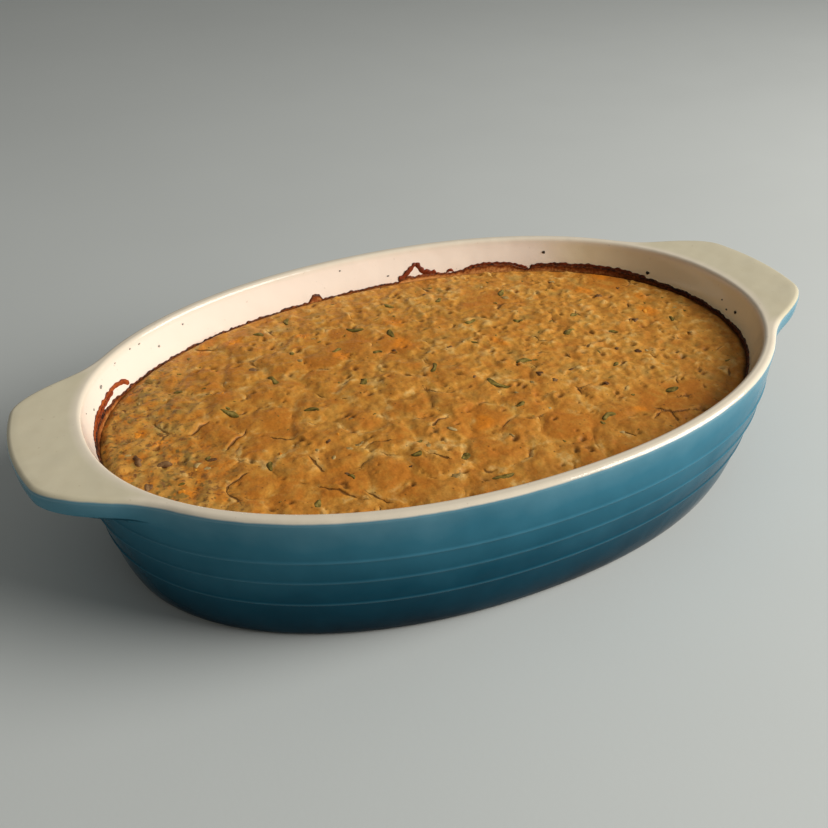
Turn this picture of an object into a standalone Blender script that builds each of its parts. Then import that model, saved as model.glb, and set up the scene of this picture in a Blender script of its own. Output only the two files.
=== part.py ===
"""Ground beef pie baked in an oval stoneware dish with two lug handles.

Metres, +Z up. The origin is the middle of the flat base that the dish stands on.
+X runs along the dish to its right handle, and +Y to its back wall.
"""

import math

import bmesh
import bpy
import numpy as np
from mathutils import Vector
from mathutils.bvhtree import BVHTree

MM = 0.001

# Dish, outside
RIM_HALF_LENGTH = 150.0 * MM
RIM_HALF_WIDTH = 102.0 * MM
OVAL_EXPONENT = 2.12
DISH_HEIGHT = 62.0 * MM
# Share of the height, and how far the wall there lies inside the rim's outline
WALL_PROFILE = ((0.0, 11.1 * MM), (0.1, 8.9 * MM), (0.28, 6.3 * MM), (0.6, 2.1 * MM), (1.0, 0.0))
WIDTH_INSET_FACTOR = 1.16
FOOT_RADIUS = 1.4 * MM

# Raised lines round the outside
BEAD_HEIGHTS = (20.7 * MM, 33.2 * MM, 43.5 * MM)
BEAD_RISE = 0.6 * MM
BEAD_HALF_HEIGHT = 1.0 * MM
LOW_WALL_SHARE = 0.13

# Lug handles
HANDLE_REACH = 171.0 * MM
HANDLE_TIP_RADIUS = 98.0 * MM
HANDLE_SIDE_SLOPE = 0.5
HANDLE_SIDE_OFFSET = 117.1 * MM
HANDLE_SECTOR_COSINE = 0.75
HANDLE_CORNER_BLEND = 12.5 * MM
HANDLE_ROOT_BLEND = 5.0 * MM
HANDLE_RISE = 1.8 * MM
HANDLE_THICKNESS = 8.6 * MM
HANDLE_ROOT_DROP = 16.6 * MM
HANDLE_TOP_SHARE = 0.45
# Share of the underside's rise and of the reach, from the wall out
UNDERSIDE_STATIONS = ((0.45, 0.12), (0.9, 0.55))
EDGE_RADIUS = 2.2 * MM

# Dish, inside
RIM_THICKNESS = 5.0 * MM
RIM_CROWN_INSET = 2.8 * MM
WALL_THICKNESS = 7.9 * MM
WIDTH_THICKNESS_FACTOR = 0.94
LIP_DEPTH = 17.0 * MM
LIP_RADIUS = 1.6 * MM
INNER_WALL_SHARES = (0.86, 0.73, 0.5)
FLOOR_HEIGHT = 6.5 * MM
FLOOR_FILLET = 11.0 * MM

# Pie
PIE_GAP = 0.45 * MM
PIE_EDGE_HEIGHT = 47.2 * MM
PIE_DOME = 1.4 * MM
PIE_EDGE_ROLL = 1.3 * MM
PIE_EDGE_WIDTH = 4.5 * MM
PLATE_SPACING_FRONT_LEFT = 19.0 * MM
PLATE_SPACING_ELSEWHERE = 13.0 * MM
PLATE_CROWN = 0.7 * MM
CRACK_DEPTH = 1.1 * MM
CRACK_HALF_WIDTH = 2.0 * MM
BUMP_HEIGHT = 0.35 * MM
# Waves a millimetre along X and Y and their phase: each pair crosses to make bumps
BUMP_WAVES = (
    ((0.61, 0.35, 0.0), (0.27, -0.72, 1.3)),
    ((0.93, -0.41, 0.7), (0.22, 0.88, 0.0)),
)
PLATE_JITTER = 0.3
FRONT_LEFT_START = 10.0 * MM
FRONT_LEFT_SLOPE = 0.9
PLATE_SEED = 7

# Herb pieces on the crust: x, y, length and direction in degrees of the large ones
LARGE_HERBS = (
    (-41.4 * MM, 76.4 * MM, 6.5 * MM, 70.0),
    (-17.0 * MM, 53.0 * MM, 8.5 * MM, -35.0),
    (-4.0 * MM, 42.0 * MM, 8.0 * MM, 80.0),
    (7.0 * MM, 68.5 * MM, 6.0 * MM, -60.0),
    (-65.0 * MM, 27.0 * MM, 8.5 * MM, -85.0),
    (-89.0 * MM, 11.0 * MM, 10.0 * MM, -55.0),
    (-59.0 * MM, -2.4 * MM, 6.5 * MM, -30.0),
    (-32.0 * MM, 8.4 * MM, 5.5 * MM, 60.0),
    (-1.0 * MM, 5.0 * MM, 8.5 * MM, 55.0),
    (16.5 * MM, -18.5 * MM, 12.0 * MM, -65.0),
    (36.0 * MM, -7.0 * MM, 7.5 * MM, -10.0),
    (68.0 * MM, 6.4 * MM, 6.5 * MM, 20.0),
    (33.0 * MM, 35.0 * MM, 6.0 * MM, 10.0),
    (-13.0 * MM, -74.0 * MM, 9.0 * MM, -5.0),
    (43.0 * MM, -59.0 * MM, 7.0 * MM, 15.0),
    (-86.0 * MM, -30.0 * MM, 6.0 * MM, 75.0),
    (78.0 * MM, -54.0 * MM, 6.5 * MM, 5.0),
    (61.0 * MM, 55.0 * MM, 7.5 * MM, 50.0),
)
SMALL_HERB_COUNT = 18
SMALL_HERB_SPACING = 15.0 * MM
SMALL_HERB_LENGTHS = (3.5 * MM, 5.5 * MM)
HERB_WIDTH = 2.8 * MM
HERB_THICKNESS = 2.4 * MM
HERB_SINK = 0.35 * MM
HERB_EDGE_MARGIN = 0.88
HERB_SEED = 21

# How finely the surfaces are cut
DISH_COLUMNS = 104
OUTLINE_SAMPLES = 3600
CORNER_CROWDING = 14.0 * MM
PIE_GRID = (58, 42)

CREAM = (0.68, 0.57, 0.41, 1.0)
CRUST = (0.43, 0.19, 0.045, 1.0)


def clear_scene():
    """Empty the file that the script runs in."""
    for item in list(bpy.data.objects):
        bpy.data.objects.remove(item, do_unlink=True)


def new_collection(name):
    """Make a collection in the scene."""
    group = bpy.data.collections.new(name)
    bpy.context.scene.collection.children.link(group)
    return group


def material(name, colour, roughness):
    """Make a Principled material of one colour."""
    finish = bpy.data.materials.new(name)
    finish.use_nodes = True
    shader = finish.node_tree.nodes["Principled BSDF"]
    shader.inputs["Base Color"].default_value = colour
    shader.inputs["Roughness"].default_value = roughness
    shader.inputs["Metallic"].default_value = 0.0
    return finish


def smooth_step(value):
    """Ease a value from 0 to 1."""
    share = np.clip(value, 0.0, 1.0)
    return share * share * (3.0 - 2.0 * share)


def smooth_min(first, second, blend):
    """Take the smaller of two lengths with their crossing rounded over a blend length."""
    share = np.maximum(blend - np.abs(first - second), 0.0) / blend
    return np.minimum(first, second) - share * share * blend / 4.0


def smooth_max(first, second, blend):
    """Take the larger of two lengths with their crossing rounded over a blend length."""
    return -smooth_min(-first, -second, blend)


def oval(angles, half_length, half_width):
    """Points of the dish's oval at angles round its middle."""
    along, across = np.cos(angles), np.sin(angles)
    power = OVAL_EXPONENT
    radius = (np.abs(along / half_length) ** power + np.abs(across / half_width) ** power) ** (-1.0 / power)
    return np.stack([radius * along, radius * across], axis=-1)


def handled_outline(angles):
    """Points of the rim's outline with both handles flowing out of the oval."""
    along, across = np.abs(np.cos(angles)), np.abs(np.sin(angles))
    body = np.linalg.norm(oval(angles, RIM_HALF_LENGTH, RIM_HALF_WIDTH), axis=-1)
    side = HANDLE_SIDE_OFFSET / (across + HANDLE_SIDE_SLOPE * along)
    bulge = np.sqrt(along**2 + 2.0 * across**2 * HANDLE_REACH / HANDLE_TIP_RADIUS)
    tip = 2.0 * HANDLE_REACH / (along + bulge)
    handle = np.where(along > HANDLE_SECTOR_COSINE, smooth_min(side, tip, HANDLE_CORNER_BLEND), 0.0)
    radius = smooth_max(body, handle, HANDLE_ROOT_BLEND)
    return np.stack([radius * np.cos(angles), radius * np.sin(angles)], axis=-1)


def outward(points):
    """Unit normals of a closed outline, pointing out."""
    chord = np.roll(points, -1, axis=0) - np.roll(points, 1, axis=0)
    normal = np.stack([chord[:, 1], -chord[:, 0]], axis=-1)
    return normal / np.linalg.norm(normal, axis=-1, keepdims=True)


def column_angles(count):
    """Angles of the dish's columns, closer together where the outline turns sharply."""
    dense = np.linspace(0.0, 2.0 * math.pi, OUTLINE_SAMPLES, endpoint=False)
    points = handled_outline(dense)
    step = np.roll(points, -1, axis=0) - points
    length = np.linalg.norm(step, axis=-1)
    heading = np.unwrap(np.arctan2(step[:, 1], step[:, 0]))
    turn = np.abs(np.gradient(heading))
    travelled = np.concatenate([[0.0], np.cumsum(length + CORNER_CROWDING * turn)])
    stations = np.linspace(0.0, travelled[-1], count, endpoint=False)
    return np.interp(stations, travelled, np.append(dense, 2.0 * math.pi))


def wall_inset(height):
    """How far the outer wall lies inside the rim's outline at a height."""
    shares = np.array([share for share, inset in WALL_PROFILE]) * DISH_HEIGHT
    insets = np.array([inset for share, inset in WALL_PROFILE])
    slopes = np.gradient(insets, shares)
    place = int(np.clip(np.searchsorted(shares, height) - 1, 0, len(shares) - 2))
    span = shares[place + 1] - shares[place]
    part = (height - shares[place]) / span
    rising = part * part * (3.0 - 2.0 * part)
    leave = part * (1.0 - part) ** 2 * span * slopes[place]
    arrive = part * part * (part - 1.0) * span * slopes[place + 1]
    return insets[place] * (1.0 - rising) + insets[place + 1] * rising + leave + arrive


def outer_oval(angles, height, extra=0.0):
    """Outline of the outer wall at a height, drawn in by an extra length."""
    inset = wall_inset(height)
    return oval(angles, RIM_HALF_LENGTH - inset - extra, RIM_HALF_WIDTH - WIDTH_INSET_FACTOR * inset - extra)


def wall_thickness(height):
    """Thickness of the wall at a height, thinning towards the lip."""
    share = smooth_step((DISH_HEIGHT - height) / LIP_DEPTH)
    return RIM_THICKNESS + (WALL_THICKNESS - RIM_THICKNESS) * share


def inner_oval(angles, height, extra=0.0):
    """Outline of the hollow at a height, drawn in by an extra length."""
    inset = wall_inset(height)
    thickness = wall_thickness(height)
    half_length = RIM_HALF_LENGTH - inset - thickness - extra
    thin_width = RIM_THICKNESS + (thickness - RIM_THICKNESS) * WIDTH_THICKNESS_FACTOR
    half_width = RIM_HALF_WIDTH - WIDTH_INSET_FACTOR * inset - thin_width - extra
    return oval(angles, half_length, half_width)


def at_height(points, height):
    """Lift plan points to a height, which may differ from point to point."""
    return np.column_stack([points, np.broadcast_to(height, len(points))])


def outside_rings(angles):
    """Rings of the dish from its base up to the root of the handles."""
    rings = [
        at_height(outer_oval(angles, 0.0, FOOT_RADIUS), 0.0),
        at_height(outer_oval(angles, FOOT_RADIUS), FOOT_RADIUS),
        at_height(outer_oval(angles, LOW_WALL_SHARE * DISH_HEIGHT), LOW_WALL_SHARE * DISH_HEIGHT),
    ]
    for centre in BEAD_HEIGHTS:
        for offset, rise in ((-BEAD_HALF_HEIGHT, 0.0), (0.0, BEAD_RISE), (BEAD_HALF_HEIGHT, 0.0)):
            height = centre + offset
            rings.append(at_height(outer_oval(angles, height, -rise), height))
    return rings


def handle_rings(angles):
    """Rings out along the handles' underside, round their edge and back over the rim."""
    outline = handled_outline(angles)
    body = oval(angles, RIM_HALF_LENGTH, RIM_HALF_WIDTH)
    reach = outline - body
    spread = np.linalg.norm(reach, axis=-1)
    presence = smooth_step(spread / (3.0 * EDGE_RADIUS))
    lift = HANDLE_RISE * spread / (HANDLE_REACH - RIM_HALF_LENGTH)
    normal = outward(outline)
    under = DISH_HEIGHT - HANDLE_THICKNESS
    rings = []
    for rise, share in UNDERSIDE_STATIONS:
        height = under - (1.0 - rise) * (HANDLE_ROOT_DROP - HANDLE_THICKNESS)
        rings.append(at_height(outer_oval(angles, height) + reach * share, height + lift * share))
    corner = EDGE_RADIUS * (1.0 - math.sqrt(0.5))
    low_corner = outer_oval(angles, under + corner) + reach - normal * (corner * presence)[:, None]
    rings.append(at_height(low_corner, under + corner + lift))
    for drop, tuck in ((EDGE_RADIUS, 0.0), (corner, corner), (0.0, EDGE_RADIUS)):
        rings.append(at_height(outline - normal * tuck, DISH_HEIGHT - drop + lift))
    middle = body + reach * HANDLE_TOP_SHARE - outward(body) * EDGE_RADIUS
    crown = oval(angles, RIM_HALF_LENGTH - RIM_CROWN_INSET, RIM_HALF_WIDTH - RIM_CROWN_INSET)
    pull = presence[:, None]
    top = DISH_HEIGHT + lift * HANDLE_TOP_SHARE * presence
    rings.append(at_height(middle * pull + crown * (1.0 - pull), top))
    return rings


def inside_rings(angles):
    """Rings over the lip, down the inner wall and round into the floor."""
    lip = RIM_THICKNESS - LIP_RADIUS
    corner = LIP_RADIUS * (1.0 - math.sqrt(0.5))
    rings = [
        at_height(oval(angles, RIM_HALF_LENGTH - lip, RIM_HALF_WIDTH - lip), DISH_HEIGHT),
        at_height(inner_oval(angles, DISH_HEIGHT, -corner), DISH_HEIGHT - corner),
        at_height(inner_oval(angles, DISH_HEIGHT - LIP_RADIUS), DISH_HEIGHT - LIP_RADIUS),
    ]
    for share in INNER_WALL_SHARES:
        rings.append(at_height(inner_oval(angles, share * DISH_HEIGHT), share * DISH_HEIGHT))
    rings.extend(floor_rings(angles, 0.0))
    return rings


def floor_rings(angles, gap):
    """Rings of the fillet between the inner wall and the floor, a gap inside the dish."""
    rings = []
    for turn in (0.0, 45.0, 90.0):
        rise = FLOOR_FILLET * (1.0 - math.sin(math.radians(turn)))
        tuck = FLOOR_FILLET * (1.0 - math.cos(math.radians(turn)))
        wall = inner_oval(angles, FLOOR_HEIGHT + FLOOR_FILLET, tuck + gap)
        rings.append(at_height(wall, FLOOR_HEIGHT + rise + gap))
    return rings


def loft(name, rings, finish, group):
    """Skin a closed solid over rings that all have the same number of points."""
    mesh = bmesh.new()
    loops = [[mesh.verts.new(point) for point in ring] for ring in rings]
    for lower, upper in zip(loops[:-1], loops[1:]):
        for index, corner in enumerate(lower):
            after = (index + 1) % len(lower)
            mesh.faces.new((corner, lower[after], upper[after], upper[index]))
    mesh.faces.new(list(reversed(loops[0])))
    mesh.faces.new(loops[-1])
    return finish_object(name, mesh, finish, group)


def finish_object(name, mesh, finish, group):
    """Turn an edit mesh into a smooth-shaded object with its material."""
    bmesh.ops.recalc_face_normals(mesh, faces=mesh.faces)
    data = bpy.data.meshes.new(name)
    mesh.to_mesh(data)
    mesh.free()
    data.materials.append(finish)
    data.shade_smooth()
    data.set_sharp_from_angle(angle=math.radians(50.0))
    item = bpy.data.objects.new(name, data)
    group.objects.link(item)
    return item


def build_dish(group):
    """The stoneware dish: one piece with its beads, lip and handles."""
    angles = column_angles(DISH_COLUMNS)
    rings = outside_rings(angles) + handle_rings(angles) + inside_rings(angles)
    return loft("dish", rings, material("stoneware_glaze", CREAM, 0.25), group)


def plate_centres():
    """Centres of the crust's plates: a jittered lattice, wider at the front left."""
    draw = np.random.default_rng(PLATE_SEED)
    centres = []
    for front_left in (True, False):
        spacing = PLATE_SPACING_FRONT_LEFT if front_left else PLATE_SPACING_ELSEWHERE
        rows = int(RIM_HALF_WIDTH / spacing) + 1
        columns = int(RIM_HALF_LENGTH / spacing) + 1
        for row in range(-rows, rows + 1):
            for column in range(-columns, columns + 1):
                shift = 0.5 * spacing if row % 2 else 0.0
                jitter = draw.uniform(-PLATE_JITTER, PLATE_JITTER, 2) * spacing
                point = np.array([column * spacing + shift, row * spacing]) + jitter
                if (in_front_left(point) > 0.0) == front_left:
                    centres.append(point)
    return np.array(centres)


def in_front_left(point):
    """Positive in the front left half of the pie, where the plates are large."""
    return FRONT_LEFT_START - point[0] - FRONT_LEFT_SLOPE * point[1]


def edge_distance(points, half_length, half_width):
    """Roughly how far points inside an oval lie from its edge."""
    power = OVAL_EXPONENT
    share = (np.abs(points[:, 0] / half_length) ** power + np.abs(points[:, 1] / half_width) ** power)
    share = share ** (1.0 / power)
    return (1.0 - share) * np.linalg.norm(points, axis=-1) / np.maximum(share, 1e-6)


def wave(points, along, across, phase):
    """A sine wave over the plan, with its steepness along X and Y per millimetre."""
    return np.sin((along * points[:, 0] + across * points[:, 1]) / MM + phase)


def crust_height(points, centres, half_length, half_width):
    """Height of the crust: domed, cracked into plates, bumpy, and rolled down at its edge."""
    away = np.linalg.norm(points[:, None, :] - centres[None, :, :], axis=-1)
    nearest = np.sort(away, axis=1)[:, :2]
    to_crack = 0.5 * (nearest[:, 1] - nearest[:, 0])
    crack = np.exp(-((to_crack / CRACK_HALF_WIDTH) ** 2))
    crown = PLATE_CROWN * smooth_step(to_crack / (3.0 * CRACK_HALF_WIDTH))
    bumps = np.zeros(len(points))
    for first, second in BUMP_WAVES:
        bumps += wave(points, *first) * wave(points, *second)
    share = (points[:, 0] / half_length) ** 2 + (points[:, 1] / half_width) ** 2
    inside = smooth_step(edge_distance(points, half_length, half_width) / PIE_EDGE_WIDTH)
    relief = crown - CRACK_DEPTH * crack + BUMP_HEIGHT * bumps
    return PIE_EDGE_HEIGHT + PIE_DOME * (1.0 - share) + inside * relief - PIE_EDGE_ROLL * (1.0 - inside)


def pie_top_size():
    """Half length and half width of the crust's edge."""
    edge = inner_oval(np.array([0.0, 0.5 * math.pi]), PIE_EDGE_HEIGHT, PIE_GAP)
    return edge[0][0], edge[1][1]


def square_to_oval(points, half_length, half_width):
    """Spread a square of side 2 over the oval, keeping its cells even."""
    across, along = points[:, 0], points[:, 1]
    disc = np.stack([across * np.sqrt(1.0 - along**2 / 2.0), along * np.sqrt(1.0 - across**2 / 2.0)], axis=-1)
    angles = np.arctan2(disc[:, 1] * half_width, disc[:, 0] * half_length)
    share = np.linalg.norm(disc, axis=-1)
    return oval(angles, half_length, half_width) * share[:, None]


def build_crust(centres, finish, group):
    """The pie: a grid shaped into the crust, with its border drawn down into the dish."""
    half_length, half_width = pie_top_size()
    mesh = bmesh.new()
    bmesh.ops.create_grid(mesh, x_segments=PIE_GRID[0], y_segments=PIE_GRID[1], size=1.0)
    flat = np.array([vertex.co[:2] for vertex in mesh.verts])
    places = square_to_oval(flat, half_length, half_width)
    heights = crust_height(places, centres, half_length, half_width)
    for vertex, place, height in zip(mesh.verts, places, heights):
        vertex.co = (place[0], place[1], height)
    border = [edge for edge in mesh.edges if edge.is_boundary]
    for step in range(1 + len(floor_rings(np.zeros(1), PIE_GAP))):
        grown = bmesh.ops.extrude_edge_only(mesh, edges=border)["geom"]
        lower = [item for item in grown if isinstance(item, bmesh.types.BMVert)]
        border = [item for item in grown if isinstance(item, bmesh.types.BMEdge) and item.is_boundary]
        angles = np.array([math.atan2(vertex.co.y, vertex.co.x) for vertex in lower])
        if step == 0:
            height = INNER_WALL_SHARES[-1] * DISH_HEIGHT
            ring = at_height(inner_oval(angles, height, PIE_GAP), height)
        else:
            ring = floor_rings(angles, PIE_GAP)[step - 1]
        for vertex, point in zip(lower, ring):
            vertex.co = point
    bmesh.ops.contextual_create(mesh, geom=border)
    return finish_object("pie", mesh, finish, group)


def herb_places(half_length, half_width):
    """Places, lengths and directions of all herb pieces, small ones drawn clear of the rest."""
    draw = np.random.default_rng(HERB_SEED)
    places = list(LARGE_HERBS)
    while len(places) < len(LARGE_HERBS) + SMALL_HERB_COUNT:
        across, along = draw.uniform(-half_length, half_length), draw.uniform(-half_width, half_width)
        length = draw.uniform(*SMALL_HERB_LENGTHS)
        direction = draw.uniform(0.0, 180.0)
        if math.hypot(across / half_length, along / half_width) > HERB_EDGE_MARGIN:
            continue
        clear = min(math.hypot(across - other[0], along - other[1]) for other in places)
        if clear > SMALL_HERB_SPACING:
            places.append((across, along, length, direction))
    return places


def add_herbs(pie):
    """Fuse the herb pieces to the crust, each sunk in it to more than half its thickness."""
    crust = BVHTree.FromObject(pie, bpy.context.evaluated_depsgraph_get())
    group = new_collection("herb_pieces")
    for index, (across, along, length, direction) in enumerate(herb_places(*pie_top_size())):
        above = Vector((across, along, DISH_HEIGHT))
        height = crust.ray_cast(above, Vector((0.0, 0.0, -1.0)))[0].z
        mesh = bmesh.new()
        bmesh.ops.create_icosphere(mesh, subdivisions=1, radius=0.5)
        data = bpy.data.meshes.new(f"herb_{index:02d}")
        mesh.to_mesh(data)
        mesh.free()
        herb = bpy.data.objects.new(data.name, data)
        herb.scale = (length, HERB_WIDTH, HERB_THICKNESS)
        herb.rotation_euler = (0.0, 0.0, math.radians(direction))
        herb.location = (across, along, height - HERB_SINK)
        group.objects.link(herb)
    union = pie.modifiers.new("herbs", "BOOLEAN")
    union.operation = "UNION"
    union.operand_type = "COLLECTION"
    union.collection = group
    union.solver = "EXACT"
    apply_modifiers(pie)
    for herb in list(group.objects):
        bpy.data.objects.remove(herb, do_unlink=True)
    bpy.data.collections.remove(group)


def apply_modifiers(item):
    """Keep an object's shape as its modifiers leave it."""
    graph = bpy.context.evaluated_depsgraph_get()
    graph.update()
    shaped = bpy.data.meshes.new_from_object(item.evaluated_get(graph))
    item.modifiers.clear()
    item.data = shaped


def main():
    """Build the dish and the pie in it."""
    clear_scene()
    group = new_collection("ground_beef_pie")
    build_dish(group)
    centres = plate_centres()
    pie = build_crust(centres, material("browned_crust", CRUST, 0.6), group)
    add_herbs(pie)


main()
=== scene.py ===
"""Looks of a ground beef pie baked in an oval stoneware dish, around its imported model.

Metres, +Z up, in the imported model's frame. +X runs along the dish to its right handle.
"""

import logging
import math
from dataclasses import dataclass
from enum import Enum

import bmesh
import bpy
import numpy as np
from mathutils import Matrix, Vector


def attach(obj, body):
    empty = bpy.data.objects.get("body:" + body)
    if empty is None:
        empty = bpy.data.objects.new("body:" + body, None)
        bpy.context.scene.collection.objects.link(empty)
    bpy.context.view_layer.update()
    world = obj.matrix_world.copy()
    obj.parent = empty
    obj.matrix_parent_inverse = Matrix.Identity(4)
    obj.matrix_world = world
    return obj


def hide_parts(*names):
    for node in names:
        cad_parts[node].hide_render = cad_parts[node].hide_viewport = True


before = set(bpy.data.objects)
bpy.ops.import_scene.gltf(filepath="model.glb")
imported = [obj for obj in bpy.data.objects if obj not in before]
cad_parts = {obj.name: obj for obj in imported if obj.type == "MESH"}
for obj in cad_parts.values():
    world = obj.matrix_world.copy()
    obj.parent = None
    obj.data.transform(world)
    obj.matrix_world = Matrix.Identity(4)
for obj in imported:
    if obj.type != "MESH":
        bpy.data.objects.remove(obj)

MM = 0.001
# Half length and half width of the inner wall above the pie
INNER_WALL_HALVES = (140.0 * MM, 93.0 * MM)
LOG = logging.getLogger("ground_beef_pie")

Array = np.ndarray
Socket = bpy.types.NodeSocket
Colour = tuple[float, float, float]
Faces = list[tuple[int, ...]]
Stations = tuple[tuple[float, float], ...]
Spots = tuple[tuple[float, float, float], ...]


class Slot(Enum):
    """Names of the glaze and crust material slots, which no piece here is given."""

    GLAZE = "glaze"
    CRUST = "crust"


class Blend(Enum):
    """Ways to lay one colour over another."""

    OVER = "MIX"
    MULTIPLY = "MULTIPLY"


def smooth_step(value: Array | float) -> Array:
    """Ease values from 0 to 1."""
    share = np.clip(value, 0.0, 1.0)
    return share * share * (3.0 - 2.0 * share)


def hump(distance: Array | float, width: float) -> Array:
    """A smooth hump that is 1 at no distance and fades over a width."""
    return np.exp(-((distance / width) ** 2))


def smooth_min(first: Array, second: Array, blend: float) -> Array:
    """Take the smaller of two lengths with their crossing rounded over a blend length."""
    share = np.maximum(blend - np.abs(first - second), 0.0) / blend
    return np.minimum(first, second) - share * share * blend / 4.0


def to_segments(points: Array, path: Array) -> Array:
    """Signed distance from plan points to a path of straight stretches.

    Args:
        points: Plan points, one a row.
        path: The path's corners, one a row.

    Returns:
        The distance of each point to the path's nearest stretch, below 0 on its right.
    """
    nearest = np.full(len(points), np.inf)
    for start, end in zip(path[:-1], path[1:]):
        along = end - start
        offset = points - start
        share = np.clip(offset @ along / (along @ along), 0.0, 1.0)
        away = np.linalg.norm(offset - share[:, None] * along, axis=1)
        side = np.where(along[0] * offset[:, 1] - along[1] * offset[:, 0] < 0.0, -1.0, 1.0)
        nearest = np.where(away < np.abs(nearest), side * away, nearest)
    return nearest


class PlanNoise:
    """Seeded gradient noise over the plan, between about -1 and 1."""

    PERIOD = 256
    OFFSET = 100.0
    GAIN = 1.5

    def __init__(self, seed: int) -> None:
        """Draw the slopes of the noise's lattice."""
        turns = np.random.default_rng(seed).uniform(0.0, 2.0 * math.pi, (self.PERIOD, self.PERIOD))
        self.slopes = np.stack([np.cos(turns), np.sin(turns)], axis=-1)

    def _corner(self, cell: Array, part: Array, step: tuple[int, int]) -> Array:
        """Height that one corner of a lattice cell gives to the points in it."""
        slope = self.slopes[(cell[:, 0] + step[0]) % self.PERIOD, (cell[:, 1] + step[1]) % self.PERIOD]
        return slope[:, 0] * (part[:, 0] - step[0]) + slope[:, 1] * (part[:, 1] - step[1])

    def at(self, points: Array, size: float) -> Array:
        """Noise at plan points.

        Args:
            points: Plan points in metres, one a row.
            size: Size of the noise's features in metres.

        Returns:
            One value a point.
        """
        places = points / size + self.OFFSET
        cell = np.floor(places).astype(int)
        part = places - cell
        across, along = (part**3 * (part * (part * 6.0 - 15.0) + 10.0)).T
        low, high = (
            self._corner(cell, part, (0, row)) * (1.0 - across) + self._corner(cell, part, (1, row)) * across
            for row in (0, 1)
        )
        return self.GAIN * (low * (1.0 - along) + high * along)


@dataclass(frozen=True)
class DishForm:
    """The dish's surfaces, as its solid has them."""

    rim_half_length: float = 150.0 * MM
    rim_half_width: float = 102.0 * MM
    oval_exponent: float = 2.12
    height: float = 62.0 * MM
    wall_profile: Stations = ((0.0, 11.1), (0.1, 8.9), (0.28, 6.3), (0.6, 2.1), (1.0, 0.0))
    width_inset_factor: float = 1.16
    handle_reach: float = 171.0 * MM
    handle_tip_radius: float = 98.0 * MM
    handle_side_slope: float = 0.5
    handle_side_offset: float = 117.1 * MM
    handle_sector_cosine: float = 0.75
    handle_corner_blend: float = 12.5 * MM
    handle_root_blend: float = 5.0 * MM
    rim_thickness: float = 5.0 * MM
    wall_thickness: float = 7.9 * MM
    width_thickness_factor: float = 0.94
    lip_depth: float = 17.0 * MM
    floor_height: float = 6.5 * MM
    floor_fillet: float = 11.0 * MM

    def oval(self, angles: Array, half_length: float | Array, half_width: float | Array) -> Array:
        """Points of an oval at angles round the dish's middle."""
        along, across = np.cos(angles), np.sin(angles)
        power = self.oval_exponent
        total = np.abs(along / half_length) ** power + np.abs(across / half_width) ** power
        radius = total ** (-1.0 / power)
        return np.stack([radius * along, radius * across], axis=-1)

    def rim(self, angles: Array, inset: float = 0.0) -> Array:
        """The rim's oval, drawn in by an inset."""
        return self.oval(angles, self.rim_half_length - inset, self.rim_half_width - inset)

    def handled(self, angles: Array) -> Array:
        """The rim's outline with both handles flowing out of the oval."""
        along, across = np.abs(np.cos(angles)), np.abs(np.sin(angles))
        body = np.linalg.norm(self.rim(angles), axis=-1)
        side = self.handle_side_offset / (across + self.handle_side_slope * along)
        bulge = np.sqrt(along**2 + 2.0 * across**2 * self.handle_reach / self.handle_tip_radius)
        tip = 2.0 * self.handle_reach / (along + bulge)
        handle = smooth_min(side, tip, self.handle_corner_blend)
        handle = np.where(along > self.handle_sector_cosine, handle, 0.0)
        radius = -smooth_min(-body, -handle, self.handle_root_blend)
        return np.stack([radius * np.cos(angles), radius * np.sin(angles)], axis=-1)

    def wall_inset(self, height: float | Array) -> Array:
        """How far the outer wall lies inside the rim's outline at a height."""
        knots = np.array([share for share, inset in self.wall_profile]) * self.height
        insets = np.array([inset for share, inset in self.wall_profile]) * MM
        slopes = np.gradient(insets, knots)
        heights = np.atleast_1d(np.asarray(height, dtype=float))
        place = np.clip(np.searchsorted(knots, heights) - 1, 0, len(knots) - 2)
        span = knots[place + 1] - knots[place]
        part = (heights - knots[place]) / span
        rising = part * part * (3.0 - 2.0 * part)
        leave = part * (1.0 - part) ** 2 * span * slopes[place]
        arrive = part * part * (part - 1.0) * span * slopes[place + 1]
        return insets[place] * (1.0 - rising) + insets[place + 1] * rising + leave + arrive

    def outer(self, angles: Array, height: float, extra: float = 0.0) -> Array:
        """The outer wall's outline at a height, drawn in by an extra length."""
        inset = self.wall_inset(height)
        return self.oval(
            angles, self.rim_half_length - inset - extra, self.rim_half_width - self.width_inset_factor * inset - extra
        )

    def inner(self, angles: Array, height: float | Array, extra: float | Array = 0.0) -> Array:
        """The hollow's outline at a height, drawn in by an extra length."""
        inset = self.wall_inset(height)
        share = smooth_step((self.height - np.asarray(height)) / self.lip_depth)
        thickness = self.rim_thickness + (self.wall_thickness - self.rim_thickness) * share
        thin_width = self.rim_thickness + (thickness - self.rim_thickness) * self.width_thickness_factor
        half_length = self.rim_half_length - inset - thickness - extra
        half_width = self.rim_half_width - self.width_inset_factor * inset - thin_width - extra
        return self.oval(angles, half_length, half_width)

    def fillet(self, angles: Array, turn: float, gap: float) -> Array:
        """A ring on the curve between the inner wall and the floor, at a turn in degrees."""
        tuck, rise = rounding(self.floor_fillet, turn)
        wall = self.inner(angles, self.floor_height + self.floor_fillet, tuck + gap)
        return at_height(wall, self.floor_height + rise + gap)


def at_height(points: Array, height: float | Array) -> Array:
    """Lift plan points to a height, which may differ from point to point."""
    return np.column_stack([points, np.broadcast_to(height, len(points))])


def rounding(radius: float, degrees: float) -> tuple[float, float]:
    """How far a quarter round has come inward at a turn, and how far it still has to go up."""
    turn = math.radians(degrees)
    return radius * (1.0 - math.cos(turn)), radius * (1.0 - math.sin(turn))


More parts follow.
